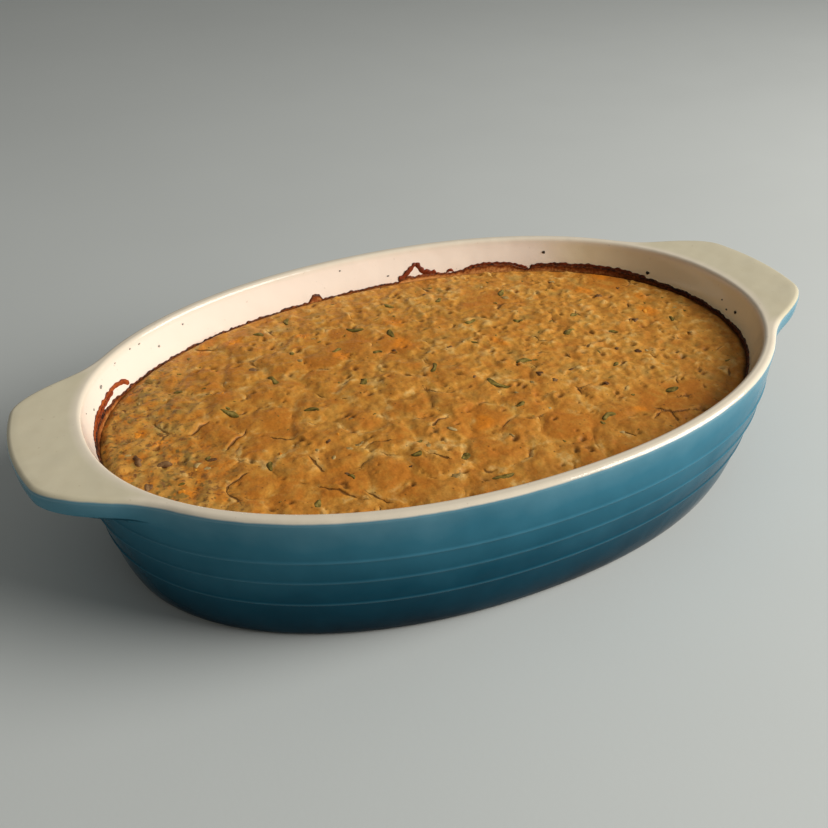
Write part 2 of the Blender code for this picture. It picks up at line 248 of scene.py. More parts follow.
def outward(points: Array) -> Array:
    """Unit normals of a closed plan outline, pointing out."""
    chord = np.roll(points, -1, axis=0) - np.roll(points, 1, axis=0)
    normal = np.stack([chord[:, 1], -chord[:, 0]], axis=-1)
    return normal / np.linalg.norm(normal, axis=-1, keepdims=True)


def ring_faces(rings: int, columns: int, closed: bool = False) -> Faces:
    """Four-sided faces between rings of equal length, each ring closed on itself.

    Args:
        rings: How many rings there are.
        columns: How many points each ring has.
        closed: Whether the last ring joins the first.

    Returns:
        The faces as tuples of point numbers.
    """
    index = np.arange(rings * columns).reshape(rings, columns)
    upper = np.roll(index, -1, axis=0) if closed else index[1:]
    lower = index if closed else index[:-1]
    quads = np.stack([lower, np.roll(lower, -1, axis=1), np.roll(upper, -1, axis=1), upper], axis=-1)
    return as_faces(quads.reshape(-1, 4))


def as_faces(*quads: Array) -> Faces:
    """Faces as tuples of point numbers, from arrays with a face a row."""
    return [tuple(quad) for quad in np.concatenate(quads).tolist()]


def sheet(rows: int, columns: int) -> tuple[Array, Array]:
    """Four-sided faces of a grid of points that runs row by row, and the points round its border."""
    index = np.arange(rows * columns).reshape(rows, columns)
    quads = np.stack([index[:-1, :-1], index[:-1, 1:], index[1:, 1:], index[1:, :-1]], axis=-1)
    border = np.concatenate([index[0, :-1], index[:-1, -1], index[-1, :0:-1], index[:0:-1, 0]])
    return quads.reshape(-1, 4), border


def skirt(upper: Array, lower: Array) -> Array:
    """Four-sided faces between two closed rings of point numbers."""
    return np.stack([upper, lower, np.roll(lower, -1), np.roll(upper, -1)], axis=-1)


def ball(subdivisions: int, radius: float) -> tuple[Array, Faces]:
    """Points and faces of a ball of triangles."""
    form = bmesh.new()
    bmesh.ops.create_icosphere(form, subdivisions=subdivisions, radius=radius)
    points = np.array([vertex.co[:] for vertex in form.verts])
    faces = [tuple(vertex.index for vertex in face.verts) for face in form.faces]
    form.free()
    return points, faces


def on_oval(draw: np.random.Generator, limit: float, half_size: tuple[float, float]) -> tuple[float, float]:
    """A place drawn evenly over an oval, out to a share of its area."""
    radius, turn = math.sqrt(draw.uniform(0.0, limit)), draw.uniform(0.0, 2.0 * math.pi)
    return radius * math.cos(turn) * half_size[0], radius * math.sin(turn) * half_size[1]


def add_object(name: str, data: bpy.types.ID) -> bpy.types.Object:
    """Put a new object in the scene."""
    made = bpy.data.objects.new(name, data)
    bpy.context.scene.collection.objects.link(made)
    return made


def add_piece(
    name: str,
    points: Array,
    faces: Faces,
    material: bpy.types.Material,
    fields: dict[str, Array] | None = None,
) -> bpy.types.Object:
    """Make a smooth piece that rides with the part.

    Args:
        name: The piece's name.
        points: Its points in metres, one a row.
        faces: Its faces as tuples of point numbers.
        material: Its finish.
        fields: Values for each point that the finish reads, by name.

    Returns:
        The new object.
    """
    data = bpy.data.meshes.new(name)
    data.from_pydata(points.tolist(), [], faces)
    edit = bmesh.new()
    edit.from_mesh(data)
    bmesh.ops.recalc_face_normals(edit, faces=edit.faces)
    edit.to_mesh(data)
    edit.free()
    for label, values in (fields or {}).items():
        layer = data.attributes.new(label, "FLOAT", "POINT")
        layer.data.foreach_set("value", np.asarray(values, dtype=np.float32))
    data.materials.append(material)
    data.shade_smooth()
    piece = add_object(name, data)
    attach(piece, "root")
    LOG.info("%s: %d faces", name, len(data.polygons))
    return piece


class Board:
    """The nodes of one material, added and linked as the finish needs them."""

    def __init__(self, name: str) -> None:
        """Start a material with its Principled shader."""
        self.material = bpy.data.materials.new(name)
        self.material.use_nodes = True
        self.tree = self.material.node_tree
        self.shader = self.tree.nodes["Principled BSDF"]
        self.place = self.node("ShaderNodeTexCoord").outputs["Object"]

    def node(self, kind: str, inputs: dict | None = None, **settings: object) -> bpy.types.Node:
        """Add a node.

        Args:
            kind: Blender's name of the node's type.
            inputs: Values or sockets for its inputs, by name or number.
            settings: Its own settings.

        Returns:
            The node.
        """
        made = self.tree.nodes.new(kind)
        for label, value in settings.items():
            setattr(made, label, value)
        for label, value in (inputs or {}).items():
            if isinstance(value, Socket):
                self.tree.links.new(value, made.inputs[label])
            else:
                made.inputs[label].default_value = value
        return made

    def field(self, name: str) -> Socket:
        """A value that the piece's points carry."""
        return self.node("ShaderNodeAttribute", attribute_name=name).outputs["Fac"]

    def noise(self, size: float, detail: float = 3.0, seed: float = 0.0) -> Socket:
        """Noise with features of a size in metres; another seed gives another pattern."""
        inputs = {"Vector": self.place, "Scale": 1.0 / size, "Detail": detail, "W": seed}
        return self.node("ShaderNodeTexNoise", inputs, noise_dimensions="4D").outputs["Fac"]

    def span(self, value: Socket, low: float, high: float, start: float, end: float) -> Socket:
        """Map a value from one span to another."""
        inputs = {"Value": value, "From Min": low, "From Max": high, "To Min": start, "To Max": end}
        return self.node("ShaderNodeMapRange", inputs).outputs["Result"]

    def cloud(self, size: float, low: float, high: float, start: float, end: float, *pattern: float) -> Socket:
        """Noise mapped from one span to another; its detail and seed may follow."""
        return self.span(self.noise(size, *pattern), low, high, start, end)

    def sum(self, first: Socket, second: Socket) -> Socket:
        """Add two values that vary over the surface."""
        return self.node("ShaderNodeMath", {0: first, 1: second}, operation="ADD").outputs[0]

    def product(self, first: Socket, second: Socket) -> Socket:
        """Multiply two values that vary over the surface."""
        return self.node("ShaderNodeMath", {0: first, 1: second}, operation="MULTIPLY").outputs[0]

    def ramp(self, value: Socket, stops: tuple[tuple[float, Colour], ...]) -> Socket:
        """Colour a value by stops along it."""
        made = self.node("ShaderNodeValToRGB", {"Fac": value})
        elements = made.color_ramp.elements
        while len(elements) < len(stops):
            elements.new(1.0)
        for element, (position, colour) in zip(elements, stops):
            element.position = position
            element.color = (*colour, 1.0)
        return made.outputs["Color"]

    def lay(
        self, base: Socket | Colour, top: Socket | Colour, share: Socket | float, blend: Blend = Blend.OVER
    ) -> Socket:
        """Lay one colour over another by a share."""
        inputs = {0: share, 6: base, 7: top}
        for label in (6, 7):
            if isinstance(inputs[label], tuple):
                inputs[label] = (*inputs[label], 1.0)
        return self.node("ShaderNodeMix", inputs, data_type="RGBA", blend_type=blend.value).outputs[2]

    def layers(self, base: Socket | Colour, *tops: tuple[Socket | Colour, Socket | float]) -> Socket:
        """Lay colours over a base one after another, each by its own share."""
        for top, share in tops:
            base = self.lay(base, top, share)
        return base

    def bump(self, height: Socket, depth: float, under: Socket | None = None) -> Socket:
        """Raise the surface by a height that varies over it, up to a depth in metres."""
        inputs = {"Height": height, "Distance": depth, "Strength": 1.0}
        if under is not None:
            inputs["Normal"] = under
        return self.node("ShaderNodeBump", inputs).outputs["Normal"]

    def finish(self, colour: Socket, roughness: Socket, normal: Socket, specular: float) -> bpy.types.Material:
        """Give the shader its colour, roughness, relief and gloss.

        Args:
            colour: Base colour.
            roughness: Roughness over the surface.
            normal: Normal with the relief.
            specular: Specular level, the same all over.

        Returns:
            The finished material.
        """
        for label, socket in (("Base Color", colour), ("Roughness", roughness), ("Normal", normal)):
            self.tree.links.new(socket, self.shader.inputs[label])
        self.shader.inputs["Specular IOR Level"].default_value = specular
        return self.material


@dataclass(frozen=True)
class GlazeFinish:
    """Cream glaze inside and on the rim, teal outside that darkens to navy at the foot."""

    cream: Colour = (0.665, 0.600, 0.425)
    cream_shade: Colour = (0.630, 0.560, 0.385)
    rim_cream: Colour = (0.780, 0.690, 0.540)
    # A brighter copy of the cream for the inner wall: painted light
    inner_painted_light_cream: Colour = (0.945, 0.820, 0.690)
    # A warmer, darker cream for the shaded right end of the inner wall: painted shade
    painted_shade_cream: Colour = (0.885, 0.765, 0.500)
    bare_clay: Colour = (0.48, 0.39, 0.28)
    speck: Colour = (0.34, 0.25, 0.15)
    navy: Colour = (0.001, 0.013, 0.024)
    deep_teal: Colour = (0.005, 0.070, 0.112)
    teal: Colour = (0.042, 0.178, 0.252)
    pale_teal: Colour = (0.115, 0.275, 0.350)
    rim_drop: float = 1.15
    handle_drop: float = 1.0
    edge_fade: float = 0.25

    def material(self, form: DishForm, name: str, specular: float) -> bpy.types.Material:
        """Make the glaze.

        Args:
            form: The dish that it covers.
            name: The material's name.
            specular: How strongly it mirrors.

        Returns:
            The glaze's material.
        """
        board = Board(name)
        height = board.node("ShaderNodeSeparateXYZ", {"Vector": board.place}).outputs["Z"]
        wander = board.cloud(26.0 * MM, 0.3, 0.7, -0.07, 0.07)
        share = board.sum(board.span(height, 0.0, form.height, 0.0, 1.0), wander)
        # Darker towards the foot: partly the glaze's own ombré, partly painted shade at the foot
        outside = board.ramp(
            share, ((0.0, self.navy), (0.40, self.deep_teal), (0.82, self.teal), (1.0, self.pale_teal))
        )
        # Lighter teal along the top of each raised line: painted highlight
        outside = board.lay(outside, self.pale_teal, board.span(board.field("painted_bead_highlight"), 0.0, 1.0, 0.0, 0.28))
        inside = board.layers(
            self.cream,
            (self.cream_shade, board.cloud(9.0 * MM, 0.45, 0.75, 0.0, 0.7)),
            (self.rim_cream, board.field("rim")),
            # The inner wall gets the brighter cream: painted light
            (self.inner_painted_light_cream, board.field("inner_wall")),
            # The right end of the inner wall gets the warmer, darker cream: painted shade
            (self.painted_shade_cream, board.field("tint_share")),
            (self.speck, board.cloud(1.3 * MM, 0.78, 0.83, 0.0, 0.25, 0.0)),
        )
        drop = board.sum(board.field("below_edge"), board.cloud(7.0 * MM, 0.3, 0.7, -0.08, 0.08))
        coverage = board.span(drop, -self.edge_fade, self.edge_fade, 0.0, 1.0)
        colour = board.lay(inside, outside, coverage)
        colour = board.lay(self.bare_clay, colour, board.span(height, 0.0, 0.5 * MM, 0.0, 1.0))
        roughness = board.cloud(14.0 * MM, 0.3, 0.7, 0.10, 0.18)
        waves = board.bump(board.noise(11.0 * MM, 1.0), 0.35 * MM)
        normal = board.bump(board.noise(1.6 * MM, 2.0), 0.02 * MM, waves)
        return board.finish(colour, roughness, normal, specular=specular)


@dataclass(frozen=True)
class CrustFinish:
    """Browned batter: golden ridges, tan plates, brown hollows, dark cracks and a burnt edge.

    The ridges' gold is partly painted highlight and the hollows' brown partly painted shade; the dark in cracks,
    pores and pits is painted shade.
    """

    hollow: Colour = (0.385, 0.146, 0.014)
    tan: Colour = (0.586, 0.246, 0.031)
    golden: Colour = (0.674, 0.309, 0.045)
    ridge: Colour = (0.800, 0.505, 0.160)
    browned: Colour = (0.536, 0.181, 0.015)
    crack: Colour = (0.118, 0.048, 0.008)
    orange: Colour = (0.793, 0.250, 0.012)
    herb_stain: Colour = (0.377, 0.250, 0.059)
    reddened: Colour = (0.595, 0.189, 0.021)
    yellowed: Colour = (0.635, 0.333, 0.052)
    burnt: Colour = (0.050, 0.014, 0.005)
    pore_size: float = 4.2 * MM
    # Size, pattern, threshold and colour of the filling's blotches that show through the skin
    blotches: tuple[tuple[float, float, float, Colour], ...] = (
        (4.6 * MM, 7.0, 0.50, (0.640, 0.320, 0.058)),
        (5.0 * MM, 9.0, 0.54, (0.310, 0.190, 0.042)),
        (3.4 * MM, 11.0, 0.60, (0.230, 0.105, 0.032)),
        (3.0 * MM, 13.0, 0.60, (0.760, 0.250, 0.022)),
        (1.8 * MM, 17.0, 0.575, (0.190, 0.062, 0.014)),
        (2.3 * MM, 19.0, 0.57, (0.165, 0.112, 0.026)),
    )

    def material(self) -> bpy.types.Material:
        """Make the crust's finish."""
        board = Board("browned_crust")
        mottle = board.cloud(2.6 * MM, 0.25, 0.75, -0.30, 0.30, 4.0)
        tone = board.sum(board.field("tone"), mottle)
        # From brown in low places to pale gold on ridges: partly the crust's own browning, partly painted highlight and
        # shade
        colour = board.ramp(tone, ((0.0, self.hollow), (0.36, self.tan), (0.62, self.golden), (1.0, self.ridge)))
        pores = board.node("ShaderNodeTexVoronoi", {"Vector": board.place, "Scale": 1.0 / self.pore_size})
        colour = board.layers(
            colour,
            (self.browned, board.field("browning")),
            (self.reddened, board.cloud(6.0 * MM, 0.50, 0.70, 0.0, 0.45, 3.0)),
            (self.yellowed, board.cloud(5.0 * MM, 0.52, 0.72, 0.0, 0.50, 3.0, 4.0)),
            (self.herb_stain, board.field("herb_stain")),
            (self.orange, board.field("orange")),
            # Dark dots in small pores: painted shade
            (self.crack, board.span(pores.outputs["Distance"], 0.05, 0.11, 0.75, 0.0)),
        )
        for size, pattern, threshold, tint in self.blotches:
            patch = board.cloud(size, threshold, threshold + 0.09, 0.0, 0.85, 4.0, pattern)
            colour = board.lay(colour, tint, board.product(board.field("mixed"), patch))
        # Dark lines in the cracks and dark middles in the pits: painted shade
        away = board.node("ShaderNodeMath", {0: board.field("crack")}, operation="ABSOLUTE").outputs[0]
        away = board.sum(away, board.cloud(4.0 * MM, 0.35, 0.65, -0.30, 0.30, 2.0, 23.0))
        line = board.product(board.span(away, 0.05, 0.50, 1.0, 0.0), board.field("gape"))
        colour = board.layers(
            colour,
            (self.crack, board.span(line, 0.0, 0.9, 0.0, 0.78)),
            (self.crack, board.field("pit")),
            (self.burnt, board.field("burn")),
        )
        grain = board.ramp(board.noise(0.9 * MM, 2.0), ((0.25, (0.80, 0.77, 0.72)), (0.6, (1.0, 1.0, 1.0))))
        colour = board.lay(colour, grain, 0.8, Blend.MULTIPLY)
        roughness = board.cloud(2.4 * MM, 0.3, 0.7, 0.46, 0.68)
        slit = board.bump(board.span(line, 0.0, 1.0, 1.0, 0.0), 0.3 * MM)
        coarse = board.bump(board.noise(1.9 * MM, 3.0), 0.36 * MM, slit)
        normal = board.bump(board.noise(0.6 * MM, 2.0), 0.06 * MM, coarse)
        return board.finish(colour, roughness, normal, specular=0.25)


@dataclass(frozen=True)
class BitFinish:
    """A finish for small pieces that vary from a dark to a light colour by their own shade."""

    name: str
    dark: Colour
    middle: Colour
    light: Colour
    gloss: float
    grain_size: float = 0.8 * MM
    specular: float = 0.10

    def material(self) -> bpy.types.Material:
        """Make the bits' finish."""
        board = Board(self.name)
        wander = board.cloud(self.grain_size, 0.3, 0.7, -0.22, 0.22, 3.0)
        shade = board.sum(board.field("shade"), wander)
        colour = board.ramp(shade, ((0.0, self.dark), (0.5, self.middle), (1.0, self.light)))
        roughness = board.cloud(1.5 * MM, 0.3, 0.7, self.gloss - 0.08, self.gloss + 0.10)
        normal = board.bump(board.noise(0.6 * MM, 2.0), 0.12 * MM)
        return board.finish(colour, roughness, normal, self.specular)


class Heap:
    """Many small closed bodies of one finish that make up one piece."""

    def __init__(self) -> None:
        """Start with nothing."""
        self.points, self.faces, self.shades, self.count = [], [], [], 0

    def add(self, points: Array, faces: Faces, shade: Array | float) -> None:
        """Add one body with its shade."""
        self.faces.extend(tuple(corner + self.count for corner in face) for face in faces)
        self.points.append(points)
        self.shades.append(np.broadcast_to(shade, len(points)))
        self.count += len(points)

    def build(self, name: str, finish: BitFinish) -> bpy.types.Object:
        """Make the piece."""
        fields = {"shade": np.concatenate(self.shades)}
        return add_piece(name, np.concatenate(self.points), self.faces, finish.material(), fields)


@dataclass
class Dish:
    """The stoneware dish with its beads, rolled rim and two lug handles."""

    form: DishForm
    finish: GlazeFinish
    columns: int = 480
    outline_samples: int = 3600
    corner_crowding: float = 14.0 * MM
    foot_radius: float = 1.4 * MM
    bead_heights: tuple[float, ...] = (20.7 * MM, 33.2 * MM, 43.5 * MM)
    bead_rise: float = 0.45 * MM
    bead_width: float = 0.55 * MM
    handle_rise: float = 1.8 * MM
    handle_thickness: float = 8.6 * MM
    handle_root_drop: float = 16.6 * MM
    edge_radius: float = 2.2 * MM
    lip_radius: float = 1.6 * MM
    inside_value: float = -5.0
    gloss_depth: float = 4.0 * MM
    first_ring: float = 4.0 * MM
    ring_spacing: float = 3.0 * MM
    least_spacing: float = 0.2 * MM
    shown_wall_end: float = 43.0 * MM
    handle_fade: float = 6.0 * MM
    crest_width: float = 0.5 * MM
    # Where the painted warm shade on the right end of the inner wall starts, and over what length it comes in
    painted_shade_start: float = 88.0 * MM
    painted_shade_width: float = 28.0 * MM
    rim_gloss: float = 0.48
    wall_gloss: float = 0.03

    def angles(self) -> Array:
        """Angles of the columns, closer together where the outline turns sharply."""
        dense = np.linspace(0.0, 2.0 * math.pi, self.outline_samples, endpoint=False)
        points = self.form.handled(dense)
        step = np.roll(points, -1, axis=0) - points
        heading = np.unwrap(np.arctan2(step[:, 1], step[:, 0]))
        turn = np.abs(np.gradient(heading))
        lengths = np.linalg.norm(step, axis=-1) + self.corner_crowding * turn
        travelled = np.concatenate([[0.0], np.cumsum(lengths)])
        stations = np.linspace(0.0, travelled[-1], self.columns, endpoint=False)
        return np.interp(stations, travelled, np.append(dense, 2.0 * math.pi))

    def bead(self, height: float) -> float:
        """How far the wall stands out at a height for its raised lines."""
        return float(sum(self.bead_rise * hump(height - centre, self.bead_width) for centre in self.bead_heights))

    def wall_heights(self, root: float) -> Array:
        """Heights of the outer wall's rings, close together at each bead."""
        heights = list(np.arange(self.first_ring, root, self.ring_spacing))
        for centre in self.bead_heights:
            heights.extend(centre + offset * self.bead_width for offset in np.linspace(-2.4, 2.4, 11))
        kept = [self.foot_radius]
        for height in sorted(heights):
            if height - kept[-1] > self.least_spacing:
                kept.append(height)
        return np.array(kept)

    def lift(self, angles: Array) -> tuple[Array, Array]:
        """How far the handles reach out beyond the rim, and how much they rise there."""
        spread = np.linalg.norm(self.form.handled(angles) - self.form.rim(angles), axis=-1)
        return spread, self.handle_rise * spread / (self.form.handle_reach - self.form.rim_half_length)

    def outer_rings(self, angles: Array) -> list[Array]:
        """Rings from the base's edge out, up and round the outer edge of the rim and handles."""
        form, outline = self.form, self.form.handled(angles)
        reach = outline - form.rim(angles)
        spread, lift = self.lift(angles)
        presence = smooth_step(spread / (3.0 * self.edge_radius))[:, None]
        normal = outward(outline)
        root, under = form.height - self.handle_root_drop, form.height - self.handle_thickness
        rings = []
        for turn in (0.0, 30.0, 60.0):
            height, tuck = rounding(self.foot_radius, turn)
            rings.append(at_height(form.outer(angles, height, tuck), height))
        for height in self.wall_heights(root):
            rings.append(at_height(form.outer(angles, height, -self.bead(height)), height))
        for turn in np.linspace(0.0, 80.0, 11):
            share, rest = rounding(1.0, turn)
            height = root + (under - root) * (1.0 - rest)
            rings.append(at_height(form.outer(angles, height) + reach * share, height + lift * share))
        for turn in (90.0, 70.0, 45.0, 20.0, 0.0):
            tuck, rest = rounding(self.edge_radius, turn)
            wall = form.outer(angles, under + rest) + reach - normal * tuck * presence
            rings.append(at_height(wall, under + rest + lift))
        for turn in np.linspace(0.0, 90.0, 9):
            tuck, rest = rounding(self.edge_radius, turn)
            rings.append(at_height(outline - normal * tuck, form.height - rest + lift))
        return rings

    def rim_rings(self, angles: Array, edge: Array) -> list[Array]:
        """Rings in from the outer edge's top, over the lip and down the inner wall."""
        form = self.form
        lip = at_height(form.rim(angles, form.rim_thickness - self.lip_radius), form.height)
        rings = [edge * (1.0 - share) + lip * share for share in (0.12, 0.27, 0.42, 0.57, 0.72, 0.86, 0.95)]
        rings.append(lip)
        for turn in (22.0, 45.0, 68.0, 90.0):
            drop, tuck = rounding(self.lip_radius, turn)
            rings.append(at_height(form.inner(angles, form.height - drop, -tuck), form.height - drop))
        for height in np.linspace(form.height - 2.0 * self.lip_radius, self.shown_wall_end, 12):
            rings.append(at_height(form.inner(angles, height), height))
        rings.append(at_height(form.inner(angles, 0.5 * form.height), 0.5 * form.height))
        rings.extend(form.fillet(angles, turn, 0.0) for turn in (0.0, 45.0, 90.0))
        return rings

    def build(self) -> bpy.types.Object:
        """Make the dish and put it in the place of its solid."""
        angles = self.angles()
        outside = self.outer_rings(angles)
        inside = self.rim_rings(angles, outside[-1])
        rings = outside + inside
        points = np.concatenate(rings)
        fields = self.fields(angles, points, len(outside))
        faces = ring_faces(len(rings), len(angles))
        lower_wall = sum(1 for ring in outside if ring[:, 2].max() < self.form.height - self.gloss_depth)
        faces.append(tuple(range(len(angles))))
        faces.append(tuple(range(len(points) - len(angles), len(points))))
        rim_glaze = self.finish.material(self.form, "rim_glaze", self.rim_gloss)
        piece = add_piece("stoneware_dish", points, faces, rim_glaze, fields)
        piece.data.materials.append(self.finish.material(self.form, "wall_glaze", self.wall_gloss))
        finishes = np.zeros(len(faces), dtype=np.int32)
        finishes[: lower_wall * len(angles)] = 1
        piece.data.polygons.foreach_set("material_index", finishes)
        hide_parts("dish")
        return piece

    def fields(self, angles: Array, points: Array, outside: int) -> dict[str, Array]:
        """Values that the glaze reads at each point.

        Args:
            angles: Angles of the columns.
            points: All points, ring by ring.
            outside: How many of the rings belong to the outside.

        Returns:
            Millimetres below the glazes' meeting line, a painted highlight along the top of each raised line, and how
            much a point belongs to the rim, to the inner wall and to its right end, which gets painted warm shade.
        """
        form = self.form
        count = outside * len(angles)
        rings = len(points) // len(angles)
        spread, lift = self.lift(angles)
        handle = smooth_step(spread / self.handle_fade)
        drop = self.finish.rim_drop + (self.finish.handle_drop - self.finish.rim_drop) * handle
        below = (np.tile(form.height + lift, rings) - points[:, 2]) / MM - np.tile(drop, rings)
        below[count:] = self.inside_value
        # Painted highlight along the top of each raised line
        crest_highlight = sum(hump(points[:, 2] - centre, self.crest_width) for centre in self.bead_heights)
        crest_highlight[count:] = 0.0
        lip = np.linalg.norm(form.rim(angles, form.rim_thickness), axis=-1)
        beyond = np.linalg.norm(points[:, :2], axis=-1) - np.tile(lip, rings)
        rim = np.maximum(np.tile(1.0 - handle, rings), 1.0 - smooth_step((beyond - 1.0 * MM) / (4.0 * MM)))
        wall = np.zeros(len(points))
        wall[count:] = smooth_step((form.height - points[count:, 2]) / (2.0 * self.lip_radius))
        # How much painted warm shade the right end of the inner wall gets
        tint_share = wall * smooth_step((points[:, 0] - self.painted_shade_start) / self.painted_shade_width)
        return {"below_edge": below, "painted_bead_highlight": crest_highlight, "rim": rim, "inner_wall": wall, "tint_share": tint_share}


class Pattern(Enum):
    """The crust's patterns: the noise that each reads, and the size of its features in millimetres."""

    BEND_ACROSS = (0, 12.0)
    BEND_ALONG = (1, 12.0)
    FINE_BEND_ACROSS = (2, 3.5)
    FINE_BEND_ALONG = (3, 3.5)
    MIXED_LUMPS = (3, 4.2)
    OPENING = (4, 8.0)
    WRINKLES = (5, 9.0)
    FINE_WRINKLES = (6, 4.6)
    GOLDEN_SEAMS = (6, 11.0)
    LUMPS = (7, 7.5)
    BROKEN_SKIN = (8, 6.5)
    FINE_LUMPS = (9, 3.2)
    BURNT_WIDTH = (9, 7.0)
    BROWN_PATCHES = (10, 13.0)
    HERB_STAINS = (11, 8.0)
    TONE = (11, 19.0)


@dataclass(frozen=True)
class HerbPlace:
    """Where a herb piece lies on the crust, its length and its direction in degrees."""

    across: float
    along: float
    length: float
    direction: float


@dataclass
class Crust:
    """The pie's browned top and its body, with plates, cracks, wrinkles and pits."""

    form: DishForm
    finish: CrustFinish
    gap: float = 0.25 * MM
    solid_gap: float = 0.45 * MM
    edge_height: float = 47.2 * MM
    dome: float = 1.4 * MM
    edge_roll: float = 1.3 * MM
    edge_width: float = 4.5 * MM
    spacing_front_left: float = 19.0 * MM
    spacing_elsewhere: float = 13.0 * MM
    jitter: float = 0.3
    front_left_start: float = 10.0 * MM
    front_left_slope: float = 0.9
    front_left_fade: float = 60.0 * MM
    noise_seed: int = 100
    noise_count: int = 12
    plate_seed: int = 7
    plate_crown: float = 0.6 * MM
    grid: tuple[int, int] = (369, 254)
    pit_count: int = 330
    pit_seed: int = 40
    pit_limit: float = 0.93
    seam_softness: float = 1.1 * MM
    crack_reach: float = 3.0 * MM
    right_start: float = 60.0 * MM
    # Where the mixed filling of the left end shows through the skin, and over what length it fades
    mixed_start: float = -86.0 * MM
    mixed_fade: float = 30.0 * MM
    # How far the patterns bend the seams and the cracks
    bend: float = 3.6 * MM
    fine_bend: float = 0.9 * MM
    crack_bend: float = 0.7 * MM
    crease_sharpness: float = 2.2
    # Heights of the wrinkles, lumps, crack lips, seams, cracks and pits
    wrinkle_height: float = 0.76 * MM
    lump_height: float = 0.80 * MM
    lip_height: float = 0.30 * MM
    seam_depth: float = 0.15 * MM
    crack_depth: float = 0.5 * MM
    pit_depth: float = 0.95 * MM
    # Smooth browned plates: across, along and radius in millimetres
    brown_plates: Spots = (
        (-98, 0, 13), (-104, -22, 8), (-94, -42, 12), (-73, -6, 9), (-66, -51, 11), (-44, -60, 12),
        (-4, -40, 12), (27, -57, 13), (68, -60, 12), (84, -60, 10), (-7, 31, 11), (50, 51, 12),
        (-26, 44, 12), (115, 44, 10), (-45, 30, 9),
    )
    # Open cracks that show best, as paths across and along in millimetres
    cracks: tuple[Stations, ...] = (
        ((-103, -45), (-105, -37), (-102, -33), (-96, -31)),
        ((-74, -50), (-68, -57), (-63, -63)),
        ((-60, -61), (-56, -68)),
        ((-71, -32), (-70, -41)),
        ((-79, -13), (-76, -16), (-72, -17)),
        ((-106, 5), (-102, 8), (-99, 9)),
        ((-50, -35), (-46, -33), (-41, -36)),
        ((-22, -35), (-18, -32), (-14, -31)),
        ((-31, -50), (-27, -56)),
        ((64, -63), (68, -68), (74, -69), (83, -72)),
        ((58, -69), (63, -65), (67, -66), (66, -73)),
        ((-97, -12), (-92, -7), (-87, -4)),
    )
    # Orange flecks under the skin: across, along and radius in millimetres
    orange_spots: Spots = (
        (111, 8, 3.5), (-125, 14, 3.5), (-118, 5, 4), (-69, 68, 4), (-83, 67, 3), (-40, 57, 3), (-3, -39, 4),
        (-4, 32, 4), (119, 22, 4), (35, 12, 3), (-31, 32, 4), (1, 50, 3), (115, 50, 4), (98, 39, 3),
        (-115, -27, 3.5), (-120, -32, 2.5), (57, -61, 3),
    )

    def __post_init__(self) -> None:
        """Draw the plates, their levels and the pits."""
        self.noises = [PlanNoise(self.noise_seed + number) for number in range(self.noise_count)]
        self.centres = self.plate_centres()
        draw = np.random.default_rng(self.plate_seed + 1)
        self.levels = draw.uniform(-0.5, 0.5, len(self.centres)) * MM
        self.half_length, self.half_width = self.half_size(self.gap)
        pits = np.random.default_rng(self.pit_seed)
        radius = np.sqrt(pits.uniform(0.0, self.pit_limit, self.pit_count))
        turn = pits.uniform(0.0, 2.0 * math.pi, self.pit_count)
        halves = np.array([self.half_length, self.half_width])
        self.pits = np.stack([radius * np.cos(turn), radius * np.sin(turn)], axis=-1) * halves
        self.pit_sizes = 0.55 * MM + 0.75 * MM * pits.uniform(0.0, 1.0, self.pit_count) ** 2.2
        self.pit_turns = pits.uniform(0.0, math.pi, self.pit_count)

    def plate_centres(self) -> Array:
        """Centres of the plates: a jittered lattice, wider at the front left."""
        draw = np.random.default_rng(self.plate_seed)
        centres = []
        for front_left in (True, False):
            spacing = self.spacing_front_left if front_left else self.spacing_elsewhere
            rows = int(self.form.rim_half_width / spacing) + 1
            columns = int(self.form.rim_half_length / spacing) + 1
            for row in range(-rows, rows + 1):
                for column in range(-columns, columns + 1):
                    shift = 0.5 * spacing if row % 2 else 0.0
                    jitter = draw.uniform(-self.jitter, self.jitter, 2) * spacing
                    point = np.array([column * spacing + shift, row * spacing]) + jitter
                    side = self.front_left_start - point[0] - self.front_left_slope * point[1]
                    if (side > 0.0) == front_left:
                        centres.append(point)
        return np.array(centres)

    def half_size(self, gap: float) -> tuple[float, float]:
        """Half length and half width of the crust, a gap inside the dish."""
        edge = self.form.inner(np.array([0.0, 0.5 * math.pi]), self.edge_height, gap)
        return float(edge[0][0]), float(edge[1][1])

    def to_edge(self, points: Array) -> Array:
        """Roughly how far points lie from the crust's edge."""
        power = self.form.oval_exponent
        share = np.abs(points[:, 0] / self.half_length) ** power + np.abs(points[:, 1] / self.half_width) ** power
        share = np.maximum(share ** (1.0 / power), 1e-6)
        return (1.0 - share) * np.linalg.norm(points, axis=-1) / share

    def front_left(self, points: Array) -> Array:
        """How much points lie in the smooth, plated front left, from 0 to 1."""
        side = self.front_left_start - points[:, 0] - self.front_left_slope * points[:, 1]
        return smooth_step(0.5 + side / self.front_left_fade)

    def right_end(self, points: Array, fade: float) -> Array:
        """How much points lie at the right end, from 0 to 1."""
        return smooth_step((points[:, 0] - self.right_start) / fade)

    def noise(self, pattern: Pattern, points: Array) -> Array:
        """One of the crust's patterns at plan points, between about -1 and 1."""
        number, size = pattern.value
        return self.noises[number].at(points, size * MM)

    def drift(self, across: Pattern, along: Pattern, points: Array) -> Array:
        """Sideways shifts from a pair of patterns, between about -1 and 1."""
        return np.stack([self.noise(across, points), self.noise(along, points)], axis=-1)

